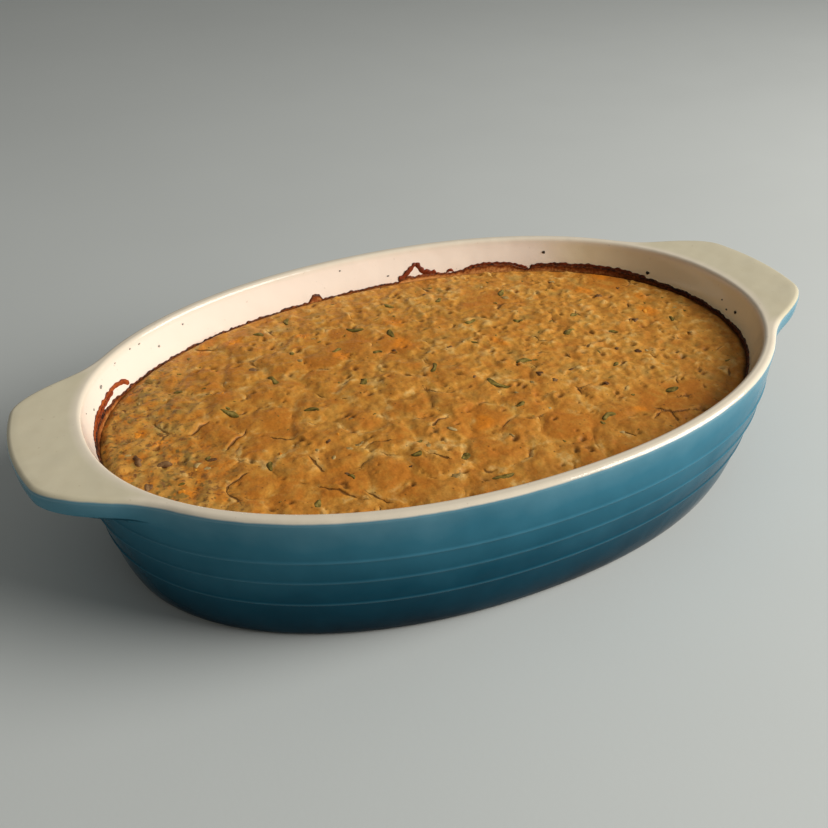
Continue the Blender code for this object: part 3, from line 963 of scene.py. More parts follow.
    def crease(self, pattern: Pattern, points: Array) -> Array:
        """Narrow winding ridges from a pattern, from 0 to 1."""
        return np.clip(1.0 - self.crease_sharpness * np.abs(self.noise(pattern, points)), 0.0, 1.0) ** 2

    def plates(self, points: Array) -> tuple[Array, Array]:
        """Level of the plate under each point, and the signed distance to the seam beside it."""
        away = np.linalg.norm(points[:, None, :] - self.centres[None, :, :], axis=-1)
        order = np.argpartition(away, 1, axis=1)[:, :2]
        pair = np.take_along_axis(away, order, axis=1)
        level = self.levels[order]
        lean = 1.0 / (1.0 + np.exp((pair[:, 0] - pair[:, 1]) / self.seam_softness))
        side = np.where(order[:, 0] < order[:, 1], 1.0, -1.0)
        return level[:, 0] * lean + level[:, 1] * (1.0 - lean), 0.5 * side * (pair[:, 1] - pair[:, 0])

    def cracks_near(self, points: Array, seam: Array, opened: Array) -> tuple[Array, Array]:
        """The crack beside each point: a seam that has opened, or one of the named cracks.

        Args:
            points: Plan points in metres, one a row.
            seam: Signed distance to the plates' seams.
            opened: How open those seams are, from 0 to 1.

        Returns:
            Signed distance to the crack, and how open it is there.
        """
        named = np.full(len(points), np.inf)
        for path in self.cracks:
            one = to_segments(points, np.array(path) * MM)
            named = np.where(np.abs(one) < np.abs(named), one, named)
        picked = np.abs(named) < self.crack_reach
        distance = np.where(picked, named, seam)
        return distance, np.where(picked, hump(named, 1.8 * MM), opened * hump(seam, 2.2 * MM))

    def spots(self, points: Array, named: Spots, edge: float) -> Array:
        """How far points lie in round spots, from 0 to 1.

        Args:
            points: Plan points in metres, one a row.
            named: Each spot's place across and along and its radius in millimetres.
            edge: How sharp the spots' edges are.

        Returns:
            One value a point.
        """
        share = np.zeros(len(points))
        for across, along, radius in named:
            off = np.linalg.norm(points - np.array([across, along]) * MM, axis=1) / (radius * MM)
            share = np.maximum(share, smooth_step(0.5 + edge * (1.0 - off)))
        return share

    def shape(self, points: Array) -> dict[str, Array]:
        """Height of the crust and the fields that its finish reads.

        Args:
            points: Plan points in metres, one a row.

        Returns:
            The height and each field, by name.
        """
        fine = self.drift(Pattern.FINE_BEND_ACROSS, Pattern.FINE_BEND_ALONG, points)
        coarse = self.drift(Pattern.BEND_ACROSS, Pattern.BEND_ALONG, points)
        warped = points + self.bend * coarse + self.fine_bend * fine
        plated = self.front_left(points)
        level, seam = self.plates(warped)
        opened = smooth_step(1.9 * self.noise(Pattern.OPENING, points) + 0.15 * plated - 0.40)
        crack, gape = self.cracks_near(points + self.crack_bend * fine, seam, opened)
        brown = self.spots(warped, self.brown_plates, 1.6)
        patch = smooth_step(1.5 * self.noise(Pattern.BROWN_PATCHES, warped) + 0.10 + 0.2 * plated)
        calm = np.clip(0.30 * plated + 0.7 * brown + 0.2 * patch, 0.0, 0.88)
        lips = (hump(crack - 1.3 * MM, 1.0 * MM) + 0.2 * hump(crack + 1.4 * MM, 0.9 * MM)) * gape
        broken = smooth_step(1.2 * self.noise(Pattern.BROKEN_SKIN, points) + 0.35)
        rough = 1.0 - calm
        wrinkle = 0.6 * self.crease(Pattern.WRINKLES, warped) + 0.5 * self.crease(Pattern.FINE_WRINKLES, warped)
        wrinkle *= rough * broken
        lumps = 0.55 * self.noise(Pattern.LUMPS, points) * (0.3 + 0.7 * rough)
        lumps += 0.5 * self.noise(Pattern.FINE_LUMPS, points) * rough
        mixed = smooth_step((self.mixed_start - points[:, 0]) / self.mixed_fade)
        lumps += 0.7 * self.noise(Pattern.MIXED_LUMPS, points) * mixed
        pit, pit_core = self.pit_fields(points)
        relief = self.plate_crown * smooth_step(np.abs(seam) / (6.0 * MM)) * plated + level * (0.3 + 0.7 * plated)
        relief += self.wrinkle_height * wrinkle + self.lump_height * lumps + self.lip_height * lips
        relief -= self.seam_depth * hump(seam, 2.0 * MM) + self.crack_depth * hump(crack, 0.8 * MM) * gape
        relief -= self.pit_depth * pit
        edge = self.to_edge(points)
        inside = smooth_step(edge / self.edge_width)
        share = (points[:, 0] / self.half_length) ** 2 + (points[:, 1] / self.half_width) ** 2
        height = self.edge_height + self.dome * (1.0 - share) + inside * relief - self.edge_roll * (1.0 - inside)
        golden_seam = smooth_step(self.noise(Pattern.GOLDEN_SEAMS, points) + 0.5)
        golden_seam *= hump(np.abs(seam) - 0.9 * MM, 1.1 * MM)
        # Raised wrinkles, crack lips and lumps are lighter: partly the crust's own browning, partly painted highlight
        tone = 0.44 + 0.42 * (golden_seam * (0.4 + 0.6 * plated) + wrinkle + lips) + 0.36 * lumps - 0.14 * calm
        tone += 0.16 * self.noise(Pattern.TONE, points)
        middle = smooth_step(np.abs(seam) / (5.0 * MM)) * plated
        margin = (0.25 + 0.45 * self.right_end(points, 60.0 * MM)) * (1.0 - smooth_step(edge / (14.0 * MM)))
        browning = np.maximum(0.8 * brown, 0.5 * patch + 0.3 * middle) + margin
        browning *= 1.0 - 0.7 * np.clip(lips + wrinkle + golden_seam, 0.0, 1.0)
        tint_share = smooth_step(1.6 * self.noise(Pattern.HERB_STAINS, points) - 0.35 + 0.8 * mixed)
        tint_share *= 1.0 - 0.5 * plated * (1.0 - mixed)
        return {
            "height": height,
            "tone": tone,
            "browning": np.clip(browning, 0.0, 1.0),
            "crack": crack / MM,
            "gape": gape,
            "pit": np.clip(0.85 * pit_core, 0.0, 0.92),
            "orange": 0.8 * self.spots(warped, self.orange_spots, 1.0),
            "burn": self.burn(points, edge),
            "herb_stain": 0.55 * tint_share * (1.0 - brown),
            "mixed": np.clip(0.16 * (1.0 - brown) + 0.84 * mixed, 0.0, 1.0),
        }

    def pit_fields(self, points: Array) -> tuple[Array, Array]:
        """Depth of the small pits, and their middles, darkened by painted shade, from 0 to 1."""
        depth, core = np.zeros(len(points)), np.zeros(len(points))
        for place, size, turn in zip(self.pits, self.pit_sizes, self.pit_turns):
            near = np.flatnonzero(np.abs(points - place).max(axis=1) < 3.5 * size)
            if not len(near):
                continue
            offset = points[near] - place
            long = offset[:, 0] * math.cos(turn) + offset[:, 1] * math.sin(turn)
            short = offset[:, 1] * math.cos(turn) - offset[:, 0] * math.sin(turn)
            away = np.hypot(long / 1.35, short / 0.85)
            share = min(1.0, size / (0.9 * MM))
            depth[near] += (hump(away, size) - 0.22 * hump(away - 1.9 * size, 0.8 * size)) * share
            core[near] = np.maximum(core[near], hump(away, 0.8 * size) * share)
        return depth, core

    def burn(self, points: Array, edge: Array) -> Array:
        """How burnt the crust is, from 0 to 1: most at its edge and at the right end."""
        width = (0.8 + 1.3 * self.right_end(points, 70.0 * MM)) * MM
        width *= 1.0 + 0.5 * self.noise(Pattern.BURNT_WIDTH, points)
        return np.clip(hump(edge, np.maximum(width, 0.4 * MM)), 0.0, 0.95)

    def spread(self) -> Array:
        """Plan points of an even grid laid over the oval, row by row."""
        rows = np.linspace(-1.0, 1.0, self.grid[1])
        columns = np.linspace(-1.0, 1.0, self.grid[0])
        across, along = (axis.ravel() for axis in np.meshgrid(columns, rows))
        disc = np.stack([across * np.sqrt(1.0 - along**2 / 2.0), along * np.sqrt(1.0 - across**2 / 2.0)], axis=-1)
        angles = np.arctan2(disc[:, 1] * self.half_width, disc[:, 0] * self.half_length)
        radius = np.linalg.norm(disc, axis=-1)[:, None]
        return self.form.oval(angles, self.half_length, self.half_width) * radius

    def build(self) -> bpy.types.Object:
        """Make the pie and put it in the place of its solid."""
        places = self.spread()
        fields = self.shape(places)
        top = at_height(places, fields.pop("height"))
        columns, rows = self.grid
        quads, border = sheet(rows, columns)
        angles = np.arctan2(places[border, 1], places[border, 0])
        middle = at_height(self.form.inner(angles, 0.5 * self.form.height, self.gap), 0.5 * self.form.height)
        rings = [middle] + [self.form.fillet(angles, turn, self.gap) for turn in (0.0, 45.0, 90.0)]
        points = np.concatenate([top, *rings])
        bands = [border, *np.arange(len(top), len(points)).reshape(len(rings), -1)]
        faces = as_faces(quads, *(skirt(upper, lower) for upper, lower in zip(bands[:-1], bands[1:])))
        faces.append(tuple(bands[-1].tolist()))
        below = len(points) - len(top)
        filled = {name: np.concatenate([values, np.zeros(below)]) for name, values in fields.items()}
        piece = add_piece("browned_pie", points, faces, self.finish.material(), filled)
        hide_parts("pie")
        return piece


@dataclass
class HerbPieces:
    """Green herb and onion-top pieces, lying in the crust where the solid has them, and fine flecks."""

    crust: Crust
    finish: BitFinish
    # Across, along and length in millimetres, and direction in degrees
    large: tuple[tuple[float, float, float, float], ...] = (
        (-41.4, 76.4, 6.5, 70.0), (-17.0, 53.0, 8.5, -35.0), (-4.0, 42.0, 8.0, 80.0), (7.0, 68.5, 6.0, -60.0),
        (-65.0, 27.0, 8.5, -85.0), (-89.0, 11.0, 10.0, -55.0), (-59.0, -2.4, 6.5, -30.0), (-32.0, 8.4, 5.5, 60.0),
        (-1.0, 5.0, 8.5, 55.0), (16.5, -18.5, 12.0, -65.0), (36.0, -7.0, 7.5, -10.0), (68.0, 6.4, 6.5, 20.0),
        (33.0, 35.0, 6.0, 10.0), (-13.0, -74.0, 9.0, -5.0), (43.0, -59.0, 7.0, 15.0), (-86.0, -30.0, 6.0, 75.0),
        (78.0, -54.0, 6.5, 5.0), (61.0, 55.0, 7.5, 50.0),
    )
    small_count: int = 18
    small_spacing: float = 15.0 * MM
    small_lengths: tuple[float, float] = (3.5 * MM, 5.5 * MM)
    edge_margin: float = 0.88
    seed: int = 21
    fleck_count: int = 60
    fleck_seed: int = 60
    fleck_limit: float = 0.9
    width: float = 2.6 * MM
    rise: float = 0.30 * MM
    sink: float = 0.9 * MM
    stations: int = 13
    lanes: int = 7

    def places(self) -> list[HerbPlace]:
        """Large pieces, small ones as the solid draws them, and the fine flecks."""
        half_length, half_width = self.crust.half_size(self.crust.solid_gap)
        draw = np.random.default_rng(self.seed)
        places = [HerbPlace(x * MM, y * MM, length * MM, turn) for x, y, length, turn in self.large]
        while len(places) < len(self.large) + self.small_count:
            across, along = draw.uniform(-half_length, half_length), draw.uniform(-half_width, half_width)
            length = draw.uniform(*self.small_lengths)
            direction = draw.uniform(0.0, 180.0)
            if math.hypot(across / half_length, along / half_width) > self.edge_margin:
                continue
            clear = min(math.hypot(across - other.across, along - other.along) for other in places)
            if clear > self.small_spacing:
                places.append(HerbPlace(across, along, length, direction))
        flecks = np.random.default_rng(self.fleck_seed)
        for _ in range(self.fleck_count):
            across, along = on_oval(flecks, self.fleck_limit, (half_length, half_width))
            length = (1.0 + 1.6 * flecks.uniform() ** 2) * MM
            places.append(HerbPlace(across, along, length, flecks.uniform(0.0, 180.0)))
        return places

    def strip(self, place: HerbPlace, draw: np.random.Generator) -> tuple[Array, Array]:
        """One piece: a bent, tapered strip that follows the crust under it.

        Args:
            place: Where it lies.
            draw: The source of its own bend, width and shade.

        Returns:
            Its points, upper side first, and their shade.
        """
        along, across = np.meshgrid(np.linspace(-1.0, 1.0, self.stations), np.linspace(-1.0, 1.0, self.lanes))
        along, across = along.ravel(), across.ravel()
        slim = min(1.0, place.length / (5.0 * MM))
        width = self.width * draw.uniform(0.7, 1.15) * slim
        bend = draw.uniform(-0.22, 0.22) * place.length
        taper = (1.0 - np.abs(along) ** 4.0) ** 0.5 * (1.0 + 0.22 * np.sin(3.0 * along + draw.uniform(0.0, 6.0)))
        long = along * place.length / 2.0
        short = across * taper * width / 2.0 + bend * (along**2 - 0.5)
        turn = math.radians(place.direction)
        plan = np.stack(
            [
                place.across + long * math.cos(turn) - short * math.sin(turn),
                place.along + long * math.sin(turn) + short * math.cos(turn),
            ],
            axis=-1,
        )
        ground = self.crust.shape(plan)["height"]
        ground = 0.6 * ground + 0.4 * ground.mean()
        crown = self.rise * slim * (1.0 - across**2) * np.sqrt(np.clip(1.0 - along**4.0, 0.0, 1.0))
        upper = at_height(plan, ground + crown + 0.05 * MM)
        lower = at_height(plan, ground - self.sink * slim)
        patches = 0.28 * np.sin(4.0 * along + draw.uniform(0.0, 6.0)) * np.sin(2.5 * across + draw.uniform(0.0, 6.0))
        # Lighter along the raised middle across each strip, a painted highlight, and darker towards both ends
        shade = 0.20 + 0.30 * draw.uniform() + 0.35 * hump(across, 0.5) + patches
        shade -= 0.25 * hump(np.abs(along) - 1.0, 0.3)
        return np.concatenate([upper, lower]), np.concatenate([shade, shade])

    def strip_faces(self) -> Faces:
        """Faces of one strip: its upper side, lower side and edge."""
        count = self.stations * self.lanes
        quads, border = sheet(self.lanes, self.stations)
        return as_faces(quads, quads[:, ::-1] + count, skirt(border, border + count))

    def build(self) -> bpy.types.Object:
        """Make all herb pieces as one piece."""
        draw, heap, faces = np.random.default_rng(self.seed + 1), Heap(), self.strip_faces()
        for place in self.places():
            points, shade = self.strip(place, draw)
            heap.add(points, faces, shade)
        return heap.build("herb_pieces", self.finish)


@dataclass
class Lumps:
    """Small rounded lumps of one kind, half sunk in the crust."""

    crust: Crust
    finish: BitFinish
    name: str
    # Across, along and length of each in millimetres
    spots: Spots
    scattered: int
    seed: int
    sizes: tuple[float, float]
    flatness: float = 0.38
    sink: float = 0.2
    limit: float = 0.88

    def build(self) -> bpy.types.Object:
        """Make the lumps as one piece."""
        draw, heap = np.random.default_rng(self.seed), Heap()
        globe, faces = ball(3, 1.0)
        places = [(x * MM, y * MM, size * MM) for x, y, size in self.spots]
        for _ in range(self.scattered):
            across, along = on_oval(draw, self.limit, (self.crust.half_length, self.crust.half_width))
            places.append((across, along, draw.uniform(*self.sizes)))
        for across, along, size in places:
            waves = draw.uniform(-1.0, 1.0, (3, 3)) * 2.6
            swell = 1.0 + 0.22 * np.sin(globe @ waves[0] * 1.3 + 1.0) + 0.20 * np.sin(globe @ waves[1] * 2.4)
            body = globe * swell[:, None] * np.array([0.5, draw.uniform(0.28, 0.45), self.flatness * 0.5]) * size
            body = body @ np.array(Matrix.Rotation(draw.uniform(0.0, math.pi), 3, "Z"))
            ground = self.crust.shape(np.array([[across, along]]))["height"][0]
            body += np.array([across, along, ground - self.sink * self.flatness * size])
            heap.add(body, faces, draw.uniform(0.25, 0.75) + 0.2 * np.sin(globe @ waves[2]))
        return heap.build(self.name, self.finish)


@dataclass
class BurntFilm:
    """Juice baked on to the inner wall above the pie's edge, with a dark line along its top."""

    form: DishForm
    finish: BitFinish
    # Angle round the dish in degrees, and height of the film's top in millimetres
    tops: Stations = (
        (-180.0, 49.8), (-170.0, 49.0), (-150.0, 47.6), (-120.0, 47.6), (-90.0, 47.3), (-60.0, 47.5), (-40.0, 47.6),
        (-24.0, 47.6), (-12.5, 48.2), (-6.8, 47.8), (2.0, 48.0), (10.9, 48.3), (16.0, 48.8), (21.0, 49.6), (25.0, 49.7),
        (29.0, 49.6), (37.0, 49.3), (40.3, 47.2), (44.0, 49.5), (48.0, 50.5), (53.5, 50.1), (57.0, 48.2),
        (62.0, 47.9), (66.0, 48.5), (70.5, 48.3), (72.5, 49.2), (75.5, 47.5), (78.0, 46.9), (100.3, 46.8),
        (101.3, 49.6), (103.4, 49.8), (105.0, 46.8), (120.0, 46.5), (150.0, 46.6), (158.0, 47.4), (166.0, 49.0),
        (173.0, 50.0), (180.0, 49.8),
    )
    # Near-black from about 174° round to -165°, at the left end: partly burnt juice, partly painted shade of the gap
    # between the pie and the wall
    # Angle round the dish in degrees, and the film's shade there, from 0 as dark to 1 as light
    shades: Stations = (
        (-180.0, 0.05), (-165.0, 0.08), (-60.0, 0.20), (-20.0, 0.14), (12.0, 0.16), (19.0, 0.22), (25.0, 0.34),
        (38.0, 0.42), (41.0, 0.48), (56.0, 0.50), (60.0, 0.56), (70.0, 0.62), (76.0, 0.54), (80.0, 0.46), (100.0, 0.40),
        (120.0, 0.36), (158.0, 0.36), (166.0, 0.44), (170.0, 0.36), (174.0, 0.10), (180.0, 0.05),
    )
    low: float = 44.5 * MM
    thickness: float = 0.30 * MM
    line_thickness: float = 0.45 * MM
    top_thickness: float = 0.1 * MM
    # Where the dark line lies between the film's low and high edge, and how wide it is, as shares
    line_place: float = 0.92
    line_width: float = 0.17
    # How far the film's hidden back lies in the wall, and its shade
    sink: float = 0.3 * MM
    hidden_shade: float = 0.2
    noise_radius: float = 0.1
    columns: int = 1400
    rows: int = 9
    seed: int = 77

    def build(self) -> bpy.types.Object:
        """Make the film as one closed band round the wall."""
        angles = np.linspace(-math.pi, math.pi, self.columns, endpoint=False)
        noise = PlanNoise(self.seed)
        round_wall = np.stack([np.cos(angles), np.sin(angles)], axis=-1) * self.noise_radius
        ragged = 0.6 * noise.at(round_wall, 4.0 * MM) + 0.45 * noise.at(round_wall, 1.6 * MM)
        named = np.array(self.tops)
        top = (np.interp(np.degrees(angles), named[:, 0], named[:, 1]) + ragged) * MM
        shade = np.interp(np.degrees(angles), *np.array(self.shades).T)
        rings, shades = [], []
        for share in np.linspace(0.0, 1.0, self.rows):
            height = self.low + (top - self.low) * share
            line = hump(share - self.line_place, self.line_width)
            grain = noise.at(round_wall + share, 3.0 * MM)
            proud = self.thickness * (1.0 + 0.5 * grain) + self.line_thickness * line
            proud = np.where(share > 0.99, self.top_thickness, proud)
            rings.append(at_height(self.form.inner(angles, height, proud), height))
            tint = shade * (1.0 + 1.1 * (1.0 - share)) * (1.0 - 0.75 * line)
            shades.append(tint + 0.20 * grain)
        for share in (1.0, 0.0):
            height = self.low + (top - self.low) * share
            rings.append(at_height(self.form.inner(angles, height, -self.sink), height))
            shades.append(np.full(len(angles), self.hidden_shade))
        points = np.concatenate(rings)
        faces = ring_faces(len(rings), len(angles), closed=True)
        fields = {"shade": np.concatenate(shades)}
        return add_piece("baked_on_edge", points, faces, self.finish.material(), fields)


@dataclass(frozen=True)
class Stroke:
    """A run of dried juice on the wall: its angles and heights, in degrees and millimetres, width and shade."""

    stations: Stations
    width: float
    shade: float


@dataclass
class Strokes:
    """Runs and loops of juice that dried on the wall."""

    form: DishForm
    finish: BitFinish
    strokes: tuple[Stroke, ...] = (
        Stroke(((75.8, 47.4), (73.1, 49.8), (71.5, 52.3), (70.2, 54.5)), 3.0, 0.36),
        Stroke(((70.3, 54.5), (69.2, 51.8), (68.2, 49.6), (66.6, 48.8), (64.2, 48.6)), 3.1, 0.34),
        Stroke(
            ((156.0, 48.0), (157.0, 50.4), (159.5, 51.7), (162.5, 51.5), (166.3, 51.1), (170.0, 50.6), (175.0, 49.6)),
            2.2, 0.66,
        ),
        Stroke(((160.5, 50.7), (164.0, 50.0), (168.5, 49.5), (174.0, 49.0)), 1.9, 0.50),
        Stroke(((57.2, 47.6), (54.0, 49.8), (50.0, 50.4), (46.0, 50.0), (42.8, 49.0), (40.3, 47.2)), 1.7, 0.26),
        Stroke(
            ((39.9, 47.6), (38.2, 48.9), (33.3, 49.3), (29.0, 49.4), (24.9, 49.6), (20.8, 49.3), (15.0, 48.2)),
            2.2, 0.18,
        ),
        Stroke(((61.3, 47.9), (60.7, 48.8), (60.2, 49.1), (59.7, 48.7), (59.2, 47.9)), 1.3, 0.26),
    )
    thickness: float = 0.35 * MM
    step: float = 0.35 * MM
    seed: int = 90
    # Corners of the section: share of the half width sideways, share of the thickness inward
    section: Stations = ((-1.0, 0.0), (-0.6, 0.7), (0.0, 1.0), (0.6, 0.7), (1.0, 0.0), (0.5, -0.8), (-0.5, -0.8))

    def centre_line(self, stroke: Stroke) -> Array:
        """Points along a stroke's middle: angle in radians and height, smooth and closely spaced."""
        named = np.array(stroke.stations)
        angles, heights = np.radians(named[:, 0]), named[:, 1] * MM
        places = at_height(self.form.inner(angles, heights), heights)
        travelled = np.concatenate([[0.0], np.cumsum(np.linalg.norm(np.diff(places, axis=0), axis=1))])
        marks = np.linspace(0.0, travelled[-1], max(8, int(travelled[-1] / self.step)))
        line = np.stack([np.interp(marks, travelled, angles), np.interp(marks, travelled, heights)], axis=-1)
        for _ in range(6):
            line[1:-1] = 0.25 * line[:-2] + 0.5 * line[1:-1] + 0.25 * line[2:]
        return line

    def build(self) -> bpy.types.Object:
        """Make all strokes as one piece."""
        noise, heap = PlanNoise(self.seed), Heap()
        size = len(self.section)
        for number, stroke in enumerate(self.strokes):
            line = self.centre_line(stroke)
            places = at_height(self.form.inner(line[:, 0], line[:, 1]), line[:, 1])
            marks = np.stack([np.arange(len(line)) * self.step, np.full(len(line), number * 0.05)], axis=-1)
            ends = np.sqrt(np.clip(np.minimum(marks[:, 0], marks[::-1, 0]) / (1.2 * MM), 0.05, 1.0))[:, None]
            half = stroke.width * MM * 0.5 * (1.0 + 0.6 * noise.at(marks, 2.2 * MM))[:, None] * ends
            tangent = np.gradient(places, axis=0)
            tangent /= np.linalg.norm(tangent, axis=1, keepdims=True)
            inward = np.column_stack([-outward_of(places[:, :2]), np.zeros(len(places))])
            beside = np.cross(tangent, inward) * half
            rows = [places + beside * offset + inward * self.thickness * rise * ends for offset, rise in self.section]
            faces = ring_faces(len(line), size)
            faces += [tuple(range(size)), tuple(range((len(line) - 1) * size, len(line) * size))]
            shade = np.repeat(stroke.shade + 0.25 * noise.at(marks + 0.5, 5.0 * MM), size)
            heap.add(np.stack(rows, axis=1).reshape(-1, 3), faces, shade)
        return heap.build("dried_runs", self.finish)


def outward_of(places: Array) -> Array:
    """Unit directions away from the dish's middle, roughly square to its oval wall."""
    lean = places / np.square(INNER_WALL_HALVES)
    return lean / np.linalg.norm(lean, axis=1, keepdims=True)


@dataclass
class Spatter:
    """Small specks of one kind on the inner wall and the left handle."""

    form: DishForm
    finish: BitFinish
    name: str
    # On the inner wall: angle in degrees, height and size in millimetres
    wall_specks: Spots
    # On the left handle's top: across, along and size in millimetres
    handle_specks: Spots = ()
    handle_height: float = 62.35 * MM
    seed: int = 5

    def build(self) -> bpy.types.Object:
        """Make the specks as one piece."""
        draw, heap = np.random.default_rng(self.seed), Heap()
        globe, faces = ball(2, 0.5)
        placed = []
        for angle, height, size in self.wall_specks:
            turn = np.array([math.radians(angle)])
            place = at_height(self.form.inner(turn, height * MM), height * MM)[0]
            placed.append((place, Vector((*outward_of(place[None, :2])[0], 0.0)), size * MM))
        for across, along, size in self.handle_specks:
            place = np.array([across * MM, along * MM, self.handle_height])
            placed.append((place, Vector((0.0, 0.0, 1.0)), size * MM))
        for place, out, size in placed:
            turn = np.array(out.to_track_quat("Z", "Y").to_matrix())
            swell = 1.0 + 0.25 * np.sin(globe @ draw.uniform(-9.0, 9.0, 3))
            body = globe * swell[:, None] * np.array([size, size * draw.uniform(0.55, 1.0), 0.45 * size])
            heap.add(body @ turn.T + place, faces, draw.uniform(0.0, 0.5))
        return heap.build(self.name, self.finish)


@dataclass
class Studio:
    """The pale floor, the soft light from the right, and the camera at the photo's angle."""

    camera_place: tuple[float, float, float] = (-164.63 * MM, -319.64 * MM, 260.14 * MM)
    azimuth: float = -25.36
    elevation: float = 32.84
    roll: float = -1.09
    lens: float = 43.11
    floor_half: float = 3.0
    floor_drop: float = 0.2 * MM
    floor_colour: Colour = (0.605, 0.635, 0.615)
    key_direction: tuple[float, float] = (-33.0, 29.0)
    key_distance: float = 1.5
    key_size: float = 1.15
    key_power: float = 31.0
    key_colour: Colour = (1.0, 0.97, 0.94)
    sky_colour: Colour = (0.98, 0.98, 0.95)
    sky_strength: float = 0.19

    @staticmethod
    def direction(azimuth: float, elevation: float) -> Vector:
        """Unit direction from the dish at an azimuth and an elevation in degrees."""
        turn, rise = math.radians(azimuth), math.radians(elevation)
        return Vector((math.cos(turn) * math.cos(rise), math.sin(turn) * math.cos(rise), math.sin(rise)))

    def floor(self) -> bpy.types.Object:
        """Make the floor that the dish stands on."""
        board = Board("pale_floor")
        shift = board.ramp(board.noise(0.25, 2.0), ((0.3, (0.97, 0.97, 0.97)), (0.7, (1.0, 1.0, 1.0))))
        colour = board.lay(self.floor_colour, shift, 1.0, Blend.MULTIPLY)
        roughness = board.cloud(0.05, 0.3, 0.7, 0.50, 0.60)
        normal = board.bump(board.noise(2.0 * MM), 0.02 * MM)
        material = board.finish(colour, roughness, normal, specular=0.3)
        edit = bmesh.new()
        bmesh.ops.create_grid(edit, x_segments=8, y_segments=8, size=self.floor_half)
        data = bpy.data.meshes.new("floor")
        edit.to_mesh(data)
        edit.free()
        data.materials.append(material)
        ground = add_object("floor", data)
        ground.location.z = -self.floor_drop
        return ground

    def lights(self) -> None:
        """Set the key light and the soft sky."""
        way = self.direction(*self.key_direction)
        lamp = bpy.data.lights.new("key", "AREA")
        lamp.shape = "DISK"
        lamp.size = self.key_size
        lamp.energy = self.key_power
        lamp.color = self.key_colour
        key = add_object("key", lamp)
        key.location = way * self.key_distance
        key.rotation_mode = "QUATERNION"
        key.rotation_quaternion = way.to_track_quat("Z", "Y")
        world = bpy.data.worlds.new("soft_sky")
        world.use_nodes = True
        sky = world.node_tree.nodes["Background"]
        sky.inputs["Color"].default_value = (*self.sky_colour, 1.0)
        sky.inputs["Strength"].default_value = self.sky_strength
        bpy.context.scene.world = world

    def camera(self) -> bpy.types.Object:
        """Set the camera where the photo was taken from."""
        roll = math.radians(self.roll)
        back = self.direction(self.azimuth - 90.0, self.elevation)
        right = Vector((0.0, 0.0, 1.0)).cross(back).normalized()
        up = back.cross(right)
        right_rolled = math.cos(roll) * right + math.sin(roll) * up
        up_rolled = math.cos(roll) * up - math.sin(roll) * right
        data = bpy.data.cameras.new("camera")
        data.lens = self.lens
        data.clip_start = 0.01
        shot = add_object("camera", data)
        turn = Matrix((right_rolled, up_rolled, back)).transposed().to_4x4()
        shot.matrix_world = Matrix.Translation(Vector(self.camera_place)) @ turn
        bpy.context.scene.camera = shot
        return shot

    def build(self) -> None:
        """Set up the whole studio."""
        self.floor()
        self.lights()
        self.camera()
        bpy.context.scene.view_settings.view_transform = "Standard"


HERB = BitFinish("herb_green", (0.062, 0.044, 0.010), (0.180, 0.130, 0.022), (0.370, 0.265, 0.070), 0.58)
BEEF = BitFinish("browned_beef", (0.055, 0.024, 0.009), (0.140, 0.064, 0.024), (0.290, 0.165, 0.070), 0.55)
PALE = BitFinish("cooked_onion", (0.260, 0.160, 0.050), (0.400, 0.265, 0.090), (0.530, 0.380, 0.160), 0.56)
CARROT = BitFinish("orange_bits", (0.450, 0.130, 0.010), (0.680, 0.240, 0.020), (0.800, 0.400, 0.060), 0.42)
JUICE = {"grain_size": 1.2 * MM, "specular": 0.18}
BAKED = BitFinish(
    "baked_on_juice", (0.022, 0.006, 0.003), (0.280, 0.070, 0.014), (0.700, 0.320, 0.090), 0.44, **JUICE
)
RUST = BitFinish("dried_juice", (0.045, 0.012, 0.005), (0.230, 0.036, 0.008), (0.480, 0.115, 0.024), 0.42, **JUICE)
SPECK = BitFinish("dark_specks", (0.020, 0.016, 0.012), (0.060, 0.045, 0.030), (0.150, 0.100, 0.060), 0.50)
FAINT = BitFinish("faint_specks", (0.300, 0.280, 0.240), (0.400, 0.370, 0.300), (0.500, 0.450, 0.350), 0.50)

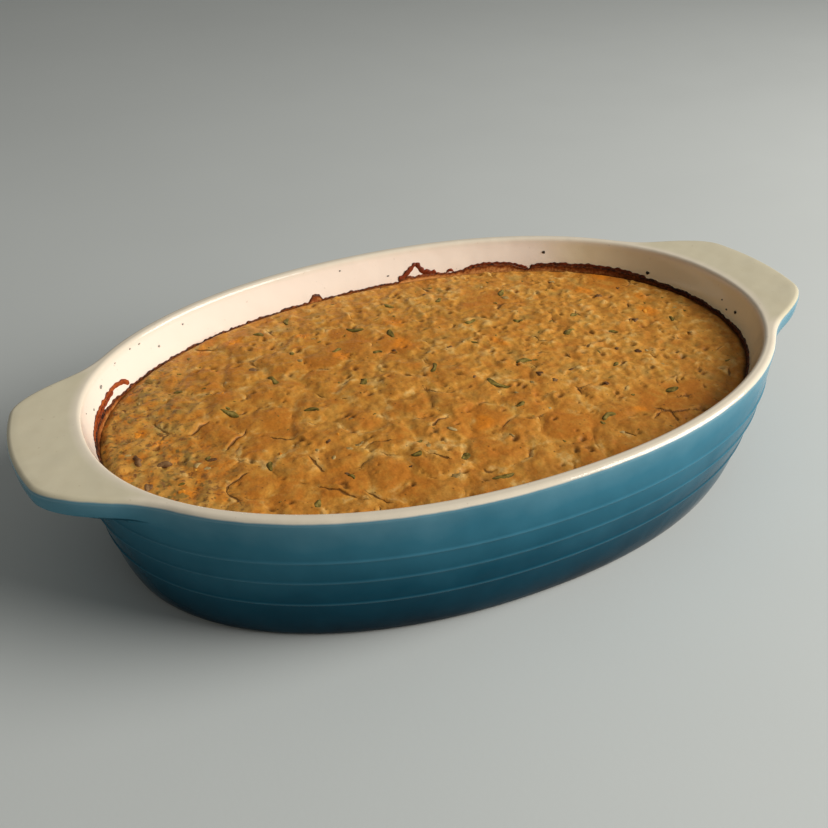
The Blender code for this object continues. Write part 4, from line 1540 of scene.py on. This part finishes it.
# Bits with a place of their own: across, along and length in millimetres
BEEF_SPOTS = (
    (-129, -3, 6.6), (-120, -11, 5.2), (-129, -22, 5.4), (-104, -17, 3.0), (50, -22, 3.0), (57, -38, 3.2),
    (36, -20, 3.4), (39, -27, 3.2), (85, -22, 3.2), (101, 2, 3.2), (101, 31, 3.6), (-70, 40, 4.0), (78, -16, 3.0),
)
PALE_SPOTS = (
    (-52, -32, 3.5), (-63, -36, 2.6), (-16, -40, 3.2), (20, -28, 2.4), (30, -24, 3.2), (-110, -18, 3.6),
    (-107, -21, 2.6), (-50, 37, 3.0), (-56, -33, 2.4), (60, 50, 3.4), (-28, -66, 4.0),
)
CARROT_SPOTS = ((-40, 57, 3.4), (111, 8, 3.4), (-125, 14, 3.6), (-119, -30, 3.0), (-118, 4, 3.0), (-71, 67, 3.0))
# On the inner wall: angle in degrees, height and size in millimetres
DARK_WALL_SPECKS = (
    (93.6, 57.5, 1.0), (78.9, 50.6, 1.2), (37.3, 55.2, 1.7), (15.0, 50.9, 2.0), (-5.1, 50.6, 1.5), (-7.8, 52.2, 1.8),
    (-3.0, 53.0, 1.0),
)
FAINT_WALL_SPECKS = (
    (152.0, 59.5, 1.2), (149.6, 59.0, 1.3), (145.8, 53.6, 1.3), (138.7, 57.0, 1.1), (156.6, 58.8, 1.2),
    (162.6, 56.2, 1.7), (167.9, 53.7, 1.3), (171.0, 57.0, 0.9),
)
# On the left handle's top: across, along and size in millimetres
HANDLE_SPECKS = ((-153.8, 1.8, 1.3),)


def main() -> None:
    """Build every piece of the pie and its dish, and the studio."""
    logging.basicConfig(level=logging.INFO, format="%(name)s %(message)s")
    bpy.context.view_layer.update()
    studio = Studio()
    studio.build()
    form = DishForm()
    Dish(form, GlazeFinish()).build()
    crust = Crust(form, CrustFinish())
    crust.build()
    HerbPieces(crust, HERB).build()
    Lumps(crust, BEEF, "beef_bits", BEEF_SPOTS, 8, 31, (1.6 * MM, 2.6 * MM)).build()
    Lumps(crust, PALE, "onion_bits", PALE_SPOTS, 22, 32, (1.4 * MM, 2.8 * MM), flatness=0.30).build()
    Lumps(crust, CARROT, "orange_bits", CARROT_SPOTS, 8, 33, (1.4 * MM, 2.4 * MM), flatness=0.30).build()
    BurntFilm(form, BAKED).build()
    Strokes(form, RUST).build()
    Spatter(form, SPECK, "dark_specks", DARK_WALL_SPECKS).build()
    Spatter(form, FAINT, "faint_specks", FAINT_WALL_SPECKS, HANDLE_SPECKS).build()


if __name__ == "__main__":
    main()
